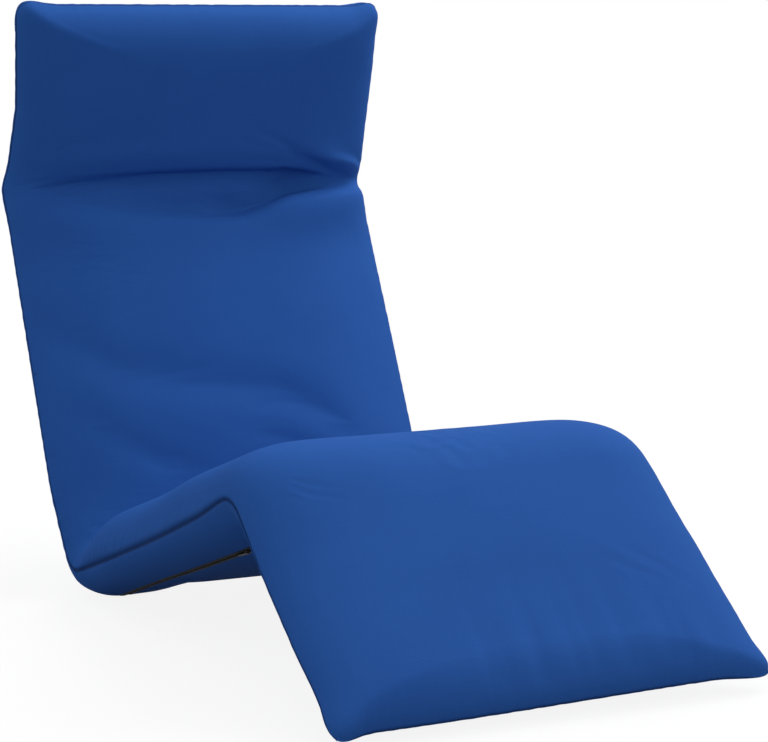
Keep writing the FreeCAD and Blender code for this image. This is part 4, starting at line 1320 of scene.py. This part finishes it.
    @staticmethod
    def cuts(grid: PadGrid) -> list[int]:
        """Return the rows amid the back and amid the seat, where one piece of the cover meets the next."""
        middles = (grid.marks[NECK.value:KNEE.value] + grid.marks[HIP.value:FOOT_END.value]) / 2
        return [int(np.abs(grid.along - middle).argmin()) for middle in middles]

    def shape(self) -> tuple[PadGrid, Array]:
        """Cut, fill, settle, refine and sew the cover.

        Returns:
            The finished grid and the painted shade along its seams and in its zip channel.
        """
        grid = self.cut()
        grid.points = grid.points + self.crease(grid)[..., None] * grid.normals()
        grid.points[..., 2] -= self.sink
        gap = grid.seam_gap()
        hold = self.loose_hold + self.seam_hold * np.exp(-(gap / self.seam_hold_width) ** 2)
        packed = self.foot_firm * np.exp(-(grid.from_line(FOOT_END) / self.foot_packed) ** 2)
        hold = np.maximum(np.maximum(hold, packed[:, None]), self.zip_channel(grid))
        grid.points = grid.points + self.stuffing.settle(grid, hold, self.slack(grid))
        grid.points = self.press(grid.points)
        grid = grid.refined()
        height, painted_groove_shade = self.sew(grid)
        grid.points = self.press(grid.points + height[..., None] * grid.normals())
        return grid, painted_groove_shade

    def slack(self, grid: PadGrid) -> Array:
        """Tell where the cloth is cut long: at the bends and low on the back.

        Args:
            grid: the cover.

        Returns:
            Shares from 0 to 1.
        """
        rows = self.even_slack * np.ones(len(grid.along))
        for line, middle, spread, amount in self.long_cloth:
            rows += amount * np.exp(-((grid.from_line(line) - middle) / spread) ** 2)
        return np.clip(rows, 0, 1)[:, None] * np.ones(len(grid.across))[None, :]

    def build(self, cloth: Material) -> PadGrid:
        """Make the cover as three closed pieces, each crossing one hinge line.

        Args:
            cloth: finish of the cover.

        Returns:
            The finished grid.
        """
        grid, painted_groove_shade = self.shape()
        last = len(grid.along) - 1
        cuts = self.cuts(grid)
        spans = ((0, cuts[0]), (cuts[0], cuts[1]), (cuts[1], last))
        parts = (
            ("cover_headrest", NECK, ("head_cover", "head_foam", "neck_fold_cover", "neck_fold_foam")),
            ("cover_back_and_seat", HIP,
             ("back_cover", "back_foam", "hip_fold_cover", "hip_fold_foam", "seat_cover", "seat_foam")),
            ("cover_footrest", KNEE, ("leg_cover", "leg_foam", "knee_fold_cover", "knee_fold_foam")),
        )
        for (first, final), (name, line, nodes) in zip(spans, parts):
            piece = new_object(name, grid.mesh(first, final, True, painted_groove_shade), cloth)
            self.follow(piece, line)
            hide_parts(*nodes)
            LOG.info("%s: %d points", name, len(piece.data.vertices))
        return grid

    def follow(self, piece: Object, line: Line) -> None:
        """Look up the hinge that a piece of the cover crosses, and bake the piece's transform into its mesh.

        Args:
            piece: the finished piece.
            line: the hinge line it crosses.
        """
        corners = self.profile.corners()
        joint = self.profile.bends[line.value - 1].hinge()
        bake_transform(piece)


class Repeat:
    """A Geometry Nodes tree that sets small beads of thread or coil along a path."""

    segments = 6
    rings = 4

    def __init__(self, name: str) -> None:
        """Build the tree with its named inputs.

        Args:
            name: name of the tree.
        """
        tree = bpy.data.node_groups.new(name, "GeometryNodeTree")
        self.tree = tree
        self.sockets = {}
        kinds = {"Path": "Geometry", "Pitch": "Float", "Bead": "Vector", "Offset": "Vector",
                 "Uneven": "Float", "Seed": "Int", "Finish": "Material"}
        for label, kind in kinds.items():
            socket = tree.interface.new_socket(label, in_out="INPUT", socket_type=f"NodeSocket{kind}")
            self.sockets[label] = socket.identifier
        tree.interface.new_socket("Beads", in_out="OUTPUT", socket_type="NodeSocketGeometry")
        given = add_node(tree, "NodeGroupInput").outputs
        curve = add_node(tree, "GeometryNodeMeshToCurve", {"Mesh": given["Path"]})
        spaced = add_node(tree, "GeometryNodeResampleCurve",
                          {"Curve": curve.outputs["Curve"], "Length": given["Pitch"]}, mode="LENGTH")
        index = add_node(tree, "GeometryNodeInputIndex")
        odd = add_node(tree, "ShaderNodeMath", {0: index.outputs["Index"], 1: 2.0}, operation="MODULO")
        sign = add_node(tree, "ShaderNodeMath", {0: odd.outputs[0], 1: 2.0, 2: -1.0},
                        operation="MULTIPLY_ADD")
        shift = add_node(tree, "ShaderNodeVectorMath",
                         {0: given["Offset"], "Scale": sign.outputs[0]}, operation="SCALE")
        moved = add_node(tree, "GeometryNodeSetPosition",
                         {"Geometry": spaced.outputs["Curve"], "Offset": shift.outputs["Vector"]})
        tangent = add_node(tree, "GeometryNodeInputTangent")
        turned = add_node(tree, "FunctionNodeAlignRotationToVector",
                          {"Vector": tangent.outputs["Tangent"]}, axis="Z")
        low = add_node(tree, "ShaderNodeMath", {0: 1.0, 1: given["Uneven"]}, operation="SUBTRACT")
        # Sockets 2 and 3 are the limits of a plain number, which comes out of output 1.
        change = add_node(tree, "FunctionNodeRandomValue",
                          {2: low.outputs[0], 3: 1.0, "Seed": given["Seed"]}, data_type="FLOAT")
        grown = add_node(tree, "ShaderNodeVectorMath",
                         {0: given["Bead"], "Scale": change.outputs[1]}, operation="SCALE")
        bead = add_node(tree, "GeometryNodeMeshUVSphere",
                        {"Segments": self.segments, "Rings": self.rings, "Radius": 1.0})
        set_out = add_node(tree, "GeometryNodeInstanceOnPoints",
                           {"Points": moved.outputs["Geometry"], "Instance": bead.outputs["Mesh"],
                            "Rotation": turned.outputs["Rotation"], "Scale": grown.outputs["Vector"]})
        real = add_node(tree, "GeometryNodeRealizeInstances", {"Geometry": set_out.outputs["Instances"]})
        smooth = add_node(tree, "GeometryNodeSetShadeSmooth", {"Geometry": real.outputs["Geometry"]})
        dressed = add_node(tree, "GeometryNodeSetMaterial",
                           {"Geometry": smooth.outputs["Geometry"], "Material": given["Finish"]})
        add_node(tree, "NodeGroupOutput", {"Beads": dressed.outputs["Geometry"]})

    def along(self, name: str, paths: list[Array], **inputs: object) -> Object:
        """Set beads along some paths and make them one plain mesh.

        Args:
            name: name of the new piece.
            paths: lists of points, in mm.
            inputs: values of the tree's named inputs.

        Returns:
            The piece, with no modifier left.
        """
        points = np.vstack(paths)
        edges, start = [], 0
        for path in paths:
            edges += [(start + step, start + step + 1) for step in range(len(path) - 1)]
            start += len(path)
        wire = bpy.data.meshes.new(f"{name}_path")
        wire.from_pydata((points * MM).tolist(), edges, [])
        holder = bpy.data.objects.new(f"{name}_path", wire)
        nodes = holder.modifiers.new("beads", "NODES")
        nodes.node_group = self.tree
        for label, value in inputs.items():
            nodes[self.sockets[label]] = value
        bpy.context.scene.collection.objects.link(holder)
        mesh = plain_mesh(holder)
        bpy.data.objects.remove(holder)
        return new_object(name, mesh, inputs["Finish"])


@dataclass
class SeamThread:
    """The stitches that join the two panels, sunk in the seam, in mm."""

    stitch: float = 3.0
    pitch: float = 3.6
    thread: float = 0.7
    proud: float = 0.2
    uneven: float = 0.12
    seed: int = 11

    def build(self, cover: PaddedCover, grid: PadGrid, finish: Material, repeat: Repeat) -> None:
        """Sew along both sides and both ends, a piece of thread for each piece of the cover.

        Args:
            cover: the cover that is sewn.
            grid: its finished grid.
            finish: the thread's finish.
            repeat: the tree that sets out the stitches.
        """
        points = grid.points + grid.normals() * self.proud
        last = len(grid.along) - 1
        cuts = cover.cuts(grid)
        left, right = points[:, 0], points[:, grid.half]
        paths = (
            ("seam_thread_headrest", NECK,
             [np.vstack([left[cuts[0]:0:-1], points[0, :grid.half + 1], right[1:cuts[0]]])]),
            ("seam_thread_back_and_seat", HIP, [left[cuts[0]:cuts[1] + 1], right[cuts[0]:cuts[1] + 1]]),
            ("seam_thread_footrest", KNEE,
             [np.vstack([left[cuts[1]:last], points[last, :grid.half + 1], right[last - 1:cuts[1]:-1]])]),
        )
        half = self.thread / 2 * MM
        for name, line, path in paths:
            piece = repeat.along(name, path, Pitch=self.pitch * MM,
                                 Bead=(half, half, self.stitch / 2 * MM), Offset=(0.0, 0.0, 0.0),
                                 Uneven=self.uneven, Seed=self.seed, Finish=finish)
            cover.follow(piece, line)
            LOG.info("%s: %d points", name, len(piece.data.vertices))


@dataclass
class CoilZip:
    """The zip under the seat, in mm: woven tape, nylon coil, slider with its pull."""

    bed: float = 0.25
    tape_width: float = 15.0
    tape_thick: float = 0.7
    tape_ease: float = 0.35
    tooth: tuple[float, float] = (2.9, 0.62)
    tooth_seat: float = 0.6
    pitch: float = 1.25
    mesh_shift: float = 0.55
    uneven: float = 0.04
    seed: int = 23
    slider_rows: int = 14
    slider_half: tuple[float, float] = (4.0, 5.0)
    # right half of the body's outline, as shares of its half width and half length
    slider_outline: tuple[tuple[float, float], ...] = ((0.62, -1.0), (1.0, 0.1), (0.9, 0.8), (0.3, 1.0))
    slider_high: float = 2.2
    bridge_half: tuple[float, float] = (0.9, 3.1)
    bridge_high: float = 3.9
    pull_long: float = 24.0
    pull_half: float = 2.8
    pull_tip: tuple[float, float] = (0.55, 2.2)
    pull_eye: tuple[float, float] = (0.7, 2.0)
    pull_level: tuple[float, float] = (2.4, 3.5)
    edge_round: float = 0.35
    edge_steps: int = 2

    def path(self, cover: PaddedCover, grid: PadGrid) -> tuple[Array, Array, Array]:
        """Trace the floor of the zip's channel.

        Args:
            cover: the cover with its channel.
            grid: its finished grid.

        Returns:
            Points in mm, directions across and outward directions, from the hip toward the knee.
        """
        under = np.flatnonzero(grid.side == UNDER.value)
        column = under[np.abs(grid.across[under] - cover.zip_place).argmin()]
        past = grid.from_line(HIP)
        rows = np.flatnonzero((past >= cover.zip_span[0]) & (past <= cover.zip_span[1]))
        points = grid.points[rows, column]
        across = unit(grid.points[rows, column - 1] - grid.points[rows, column + 1])
        travel = unit(np.gradient(points, axis=0))
        return points, across, unit(np.cross(across, travel))

    def ribbon(self, points: Array, across: Array, out: Array) -> Mesh:
        """Sweep the flat tape with eased edges along a path.

        Args:
            points: middle of the tape's lower face, in mm.
            across: directions across the tape.
            out: outward directions.

        Returns:
            The closed mesh, in metres.
        """
        half, thick = self.tape_width / 2, self.tape_thick
        ease = thick * self.tape_ease
        outline = mirrored([(half - ease, 0), (half, ease), (half, thick - ease), (half - ease, thick)])
        rings = np.stack([points + across * x + out * z for x, z in outline], axis=1)
        return closed_mesh("band", [rings])

    def build(self, cover: PaddedCover, grid: PadGrid, finishes: dict[str, Material],
              repeat: Repeat) -> None:
        """Make the zip on the settled cover.

        Args:
            cover: the cover it is sewn into.
            grid: the cover's finished grid.
            finishes: the finishes by record slot.
            repeat: the tree that sets out the coil.
        """
        points, across, out = self.path(cover, grid)
        level = points + out * (self.bed + self.tape_thick + self.tooth[1] * self.tooth_seat)
        half, thick = self.tooth[0] / 2 * MM, self.tooth[1] * MM
        meeting = grid.points[cover.cuts(grid)[1], 0]
        cut = int(np.abs(points[:, 1] - meeting[1]).argmin())
        for name, line, first, last in (("rear", HIP, 0, cut + 1), ("front", KNEE, cut, len(points))):
            span = slice(first, last)
            band = self.ribbon(points[span] + out[span] * self.bed, across[span], out[span])
            tape = new_object(f"zip_tape_{name}", band, finishes["zip_tape"])
            coil = repeat.along(f"zip_coil_{name}", [level[span]], Pitch=self.pitch * MM,
                                Bead=(half, thick, thick), Offset=(self.mesh_shift * MM, 0.0, 0.0),
                                Uneven=self.uneven, Seed=self.seed, Finish=finishes["zip_coil"])
            for piece in (tape, coil):
                cover.follow(piece, line)
            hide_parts("zip_tape")
            LOG.info("zip %s: %d points", name, len(tape.data.vertices) + len(coil.data.vertices))
        spot = len(points) - self.slider_rows
        slider = self.slider(points[spot], across[spot], out[spot], finishes["zip_metal"])
        cover.follow(slider, KNEE)
        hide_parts("zip_slider")

    def slider(self, spot: Array, across: Array, out: Array, finish: Material) -> Object:
        """Make the slider with its bridge and pull tab.

        Args:
            spot: floor of the channel under the slider, in mm.
            across: direction across the zip there.
            out: outward direction there.
            finish: the slider's finish.

        Returns:
            The slider.
        """
        travel = np.cross(out, across)
        wide, long = self.slider_half
        body = [(wide * x, long * y) for x, y in self.slider_outline]
        side, end = self.bridge_half
        pull, tip = self.pull_half, -self.pull_long
        tab = [(pull * self.pull_tip[0], tip), (pull, tip + self.pull_tip[1]), (pull, 0.0),
               (pull * self.pull_eye[0], self.pull_eye[1])]
        plates = (
            (body, 0.0, self.slider_high),
            ([(side, -end), (side, end)], self.slider_high, self.bridge_high),
            (tab, *self.pull_level),
        )
        shells = []
        for half, *heights in plates:
            flat = np.array([spot + across * x + travel * y for x, y in mirrored(half)])
            levels = [self.bed + self.tape_thick + height for height in heights]
            shells.append(np.stack([flat + out * level for level in levels]))
        piece = new_object("zip_slider_and_pull", closed_mesh("slider", shells), finish)
        edge = piece.modifiers.new("eased edges", "BEVEL")
        edge.width = self.edge_round * MM
        edge.segments = self.edge_steps
        rounded = plain_mesh(piece)
        piece.modifiers.clear()
        piece.data = rounded
        return piece


class HiddenFrame:
    """The steel frame, its hinges and its straps inside the padding, which keep their own solids."""

    def dress(self, finishes: dict[str, Material]) -> None:
        """Give every solid that is kept the finish of its record slot.

        Args:
            finishes: the finishes by record slot.
        """
        slots = {part["node"]: part["material_slot"] for part in frame["record"]["subparts"]}
        kept = [name for name, node in frame["nodes"].items() if not node.hide_render]
        for name in kept:
            node = frame["nodes"][name]
            node.data.materials.clear()
            node.data.materials.append(finishes[slots[name]])
        LOG.info("hidden frame: %d pieces", len(kept))


@dataclass
class Studio:
    """Pale floor, soft light from above and the camera, with places and sizes in mm."""

    azimuth: float = -26.31
    elevation: float = 7.74
    distance: float = 3230.0
    aim: tuple[float, float, float] = (0.0, -5.0, 344.5)
    lens: float = 115.8
    shift: tuple[float, float] = (0.052, -0.011)
    sensor: float = 36.0
    sky: float = 0.79
    ground: float = 0.38
    horizon: tuple[float, float] = (-0.1, 0.25)
    lean: tuple[float, float, float] = (0.1, 0.14, 0.0)
    floor_half: float = 9000.0
    floor_paint: float = 0.95
    floor_bounce: float = 0.43
    floor_glow: tuple[float, float] = (0.88, 1.0)
    glow_reach: tuple[float, float] = (800.0, 1800.0)
    key_power: float = 70.0
    key_place: tuple[float, float, float] = (2070.0, 510.0, 3040.0)
    key_size: float = 2200.0

    def build(self) -> None:
        """Set up the whole studio."""
        bpy.context.scene.view_settings.view_transform = "Standard"
        self.world()
        self.floor()
        self.key()
        self.camera()

    def world(self) -> None:
        """Light from a bright sky over a dim ground, with white where the camera sees it."""
        world = bpy.data.worlds.new("studio")
        bpy.context.scene.world = world
        world.use_nodes = True
        tree = world.node_tree
        tree.nodes.clear()
        way = add_node(tree, "ShaderNodeTexCoord").outputs["Generated"]
        parts = add_node(tree, "ShaderNodeSeparateXYZ", {0: way}).outputs
        low, high = self.horizon
        rise = add_node(tree, "ShaderNodeMapRange",
                        {"Value": parts["Z"], "From Min": low, "From Max": high,
                         "To Min": self.ground, "To Max": self.sky})
        level = rise.outputs["Result"]
        side = add_node(tree, "ShaderNodeVectorMath", {0: way, 1: self.lean}, operation="DOT_PRODUCT")
        leaning = add_node(tree, "ShaderNodeMath", {0: level, 1: side.outputs["Value"], 2: level},
                           operation="MULTIPLY_ADD")
        sky = add_node(tree, "ShaderNodeBackground", {"Color": leaning.outputs[0]})
        white = add_node(tree, "ShaderNodeBackground", {"Color": (1.0, 1.0, 1.0, 1.0)})
        mixed = add_node(tree, "ShaderNodeMixShader",
                         {0: self.seen_directly(tree), 1: sky.outputs[0], 2: white.outputs[0]})
        add_node(tree, "ShaderNodeOutputWorld", {"Surface": mixed.outputs[0]})

    @staticmethod
    def seen_directly(tree: NodeTree) -> NodeSocket:
        """Tell camera, mirror and glass rays from those that only carry light.

        Args:
            tree: node tree of the world or the floor.

        Returns:
            A socket that is 1 for rays that show the background.
        """
        rays = add_node(tree, "ShaderNodeLightPath").outputs
        some = add_node(tree, "ShaderNodeMath", {0: rays["Is Camera Ray"], 1: rays["Is Glossy Ray"]},
                        operation="MAXIMUM")
        every = add_node(tree, "ShaderNodeMath", {0: some.outputs[0], 1: rays["Is Transmission Ray"]},
                         operation="MAXIMUM")
        return every.outputs[0]

    def floor(self) -> None:
        """Lay the pale floor: it shows the shadow near the lounger and fades to white around it."""
        reach = self.floor_half * MM
        mesh = bpy.data.meshes.new("floor")
        corners = [(-reach, -reach, 0), (reach, -reach, 0), (reach, reach, 0), (-reach, reach, 0)]
        mesh.from_pydata(corners, [], [(0, 1, 2, 3)])
        material = bpy.data.materials.new("painted floor")
        material.use_nodes = True
        tree = material.node_tree
        tree.nodes.clear()
        paint = add_node(tree, "ShaderNodeBsdfDiffuse", {"Color": (*[self.floor_paint] * 3, 1.0)})
        glow = add_node(tree, "ShaderNodeEmission", {"Strength": 1.0})
        place = add_node(tree, "ShaderNodeTexCoord").outputs["Object"]
        away = add_node(tree, "ShaderNodeVectorMath", {0: place}, operation="LENGTH")
        near, far = self.glow_reach
        least, most = self.floor_glow
        white = add_node(tree, "ShaderNodeMapRange",
                         {"Value": away.outputs["Value"], "From Min": near * MM, "From Max": far * MM,
                          "To Min": least, "To Max": most})
        pale = add_node(tree, "ShaderNodeMixShader",
                        {0: white.outputs["Result"], 1: paint.outputs[0], 2: glow.outputs[0]})
        dim = add_node(tree, "ShaderNodeBsdfDiffuse", {"Color": (*[self.floor_bounce] * 3, 1.0)})
        mixed = add_node(tree, "ShaderNodeMixShader",
                         {0: self.seen_directly(tree), 1: dim.outputs[0], 2: pale.outputs[0]})
        add_node(tree, "ShaderNodeOutputMaterial", {"Surface": mixed.outputs[0]})
        new_object("floor", mesh, material)

    def key(self) -> None:
        """Hang the large soft lamp at the upper right."""
        lamp = bpy.data.lights.new("soft box", "AREA")
        lamp.shape = "DISK"
        lamp.size = self.key_size * MM
        lamp.energy = self.key_power
        holder = bpy.data.objects.new("soft box", lamp)
        holder.location = Vector(self.key_place) * MM
        aim = Vector(self.aim) * MM - holder.location
        holder.rotation_mode = "QUATERNION"
        holder.rotation_quaternion = aim.to_track_quat("-Z", "Y")
        bpy.context.scene.collection.objects.link(holder)

    def camera(self) -> None:
        """Stand the camera at the picture's angle."""
        turn, rise = math.radians(self.azimuth), math.radians(self.elevation)
        back = Vector((math.sin(turn) * math.cos(rise), -math.cos(turn) * math.cos(rise), math.sin(rise)))
        optics = bpy.data.cameras.new("camera")
        optics.sensor_width = self.sensor
        optics.lens = self.lens
        optics.shift_x, optics.shift_y = self.shift
        holder = bpy.data.objects.new("camera", optics)
        holder.location = (Vector(self.aim) + back * self.distance) * MM
        holder.rotation_mode = "QUATERNION"
        holder.rotation_quaternion = (-back).to_track_quat("-Z", "Y")
        bpy.context.scene.collection.objects.link(holder)
        bpy.context.scene.camera = holder


def make_finishes() -> dict[str, Material]:
    """Make every finish once.

    Returns:
        The materials by record slot, with the thread and the coil beside them.
    """
    return {
        "cover_fabric": OxfordCloth("blue Oxford polyester", "#2B5AA6", 0.8).make(),
        "thread": SpunThread("blue sewing thread", "#142F66", 0.7).make(),
        "zip_tape": RibbedTape("black woven zip tape", "#0E0E11", 0.8).make(),
        "zip_coil": SatinSkin("black nylon coil", "#121215", 0.7, gloss=0.1).make(),
        "zip_metal": SatinSkin("black painted zinc", "#17171A", 0.6, gloss=0.15).make(),
        "strap_webbing": RibbedTape("polypropylene webbing", "#141416", 0.75,
                                    rib=2.2, direction="X").make(),
        "frame_tube": SatinSkin("charcoal powder coat", "#3A3B3E", 0.45).make(),
        "hinge_steel": BareSteel("zinc plated steel", "#B9BBB6", 0.4).make(),
        "spring_steel": BareSteel("rolled spring steel", "#8C9096", 0.32, cloud="#5E646E").make(),
        "rivet_steel": BareSteel("turned rivet steel", "#C6C6C2", 0.3, cloud="#A5A6A4").make(),
    }


def main() -> None:
    """Build the lounger's looks in order."""
    logging.basicConfig(level=logging.INFO, format="%(name)s: %(message)s")
    finishes = make_finishes()
    cover = PaddedCover()
    grid = cover.build(finishes["cover_fabric"])
    repeat = Repeat("beads along a path")
    SeamThread().build(cover, grid, finishes["thread"], repeat)
    CoilZip().build(cover, grid, finishes, repeat)
    HiddenFrame().dress(finishes)
    Studio().build()


if __name__ == "__main__":
    main()
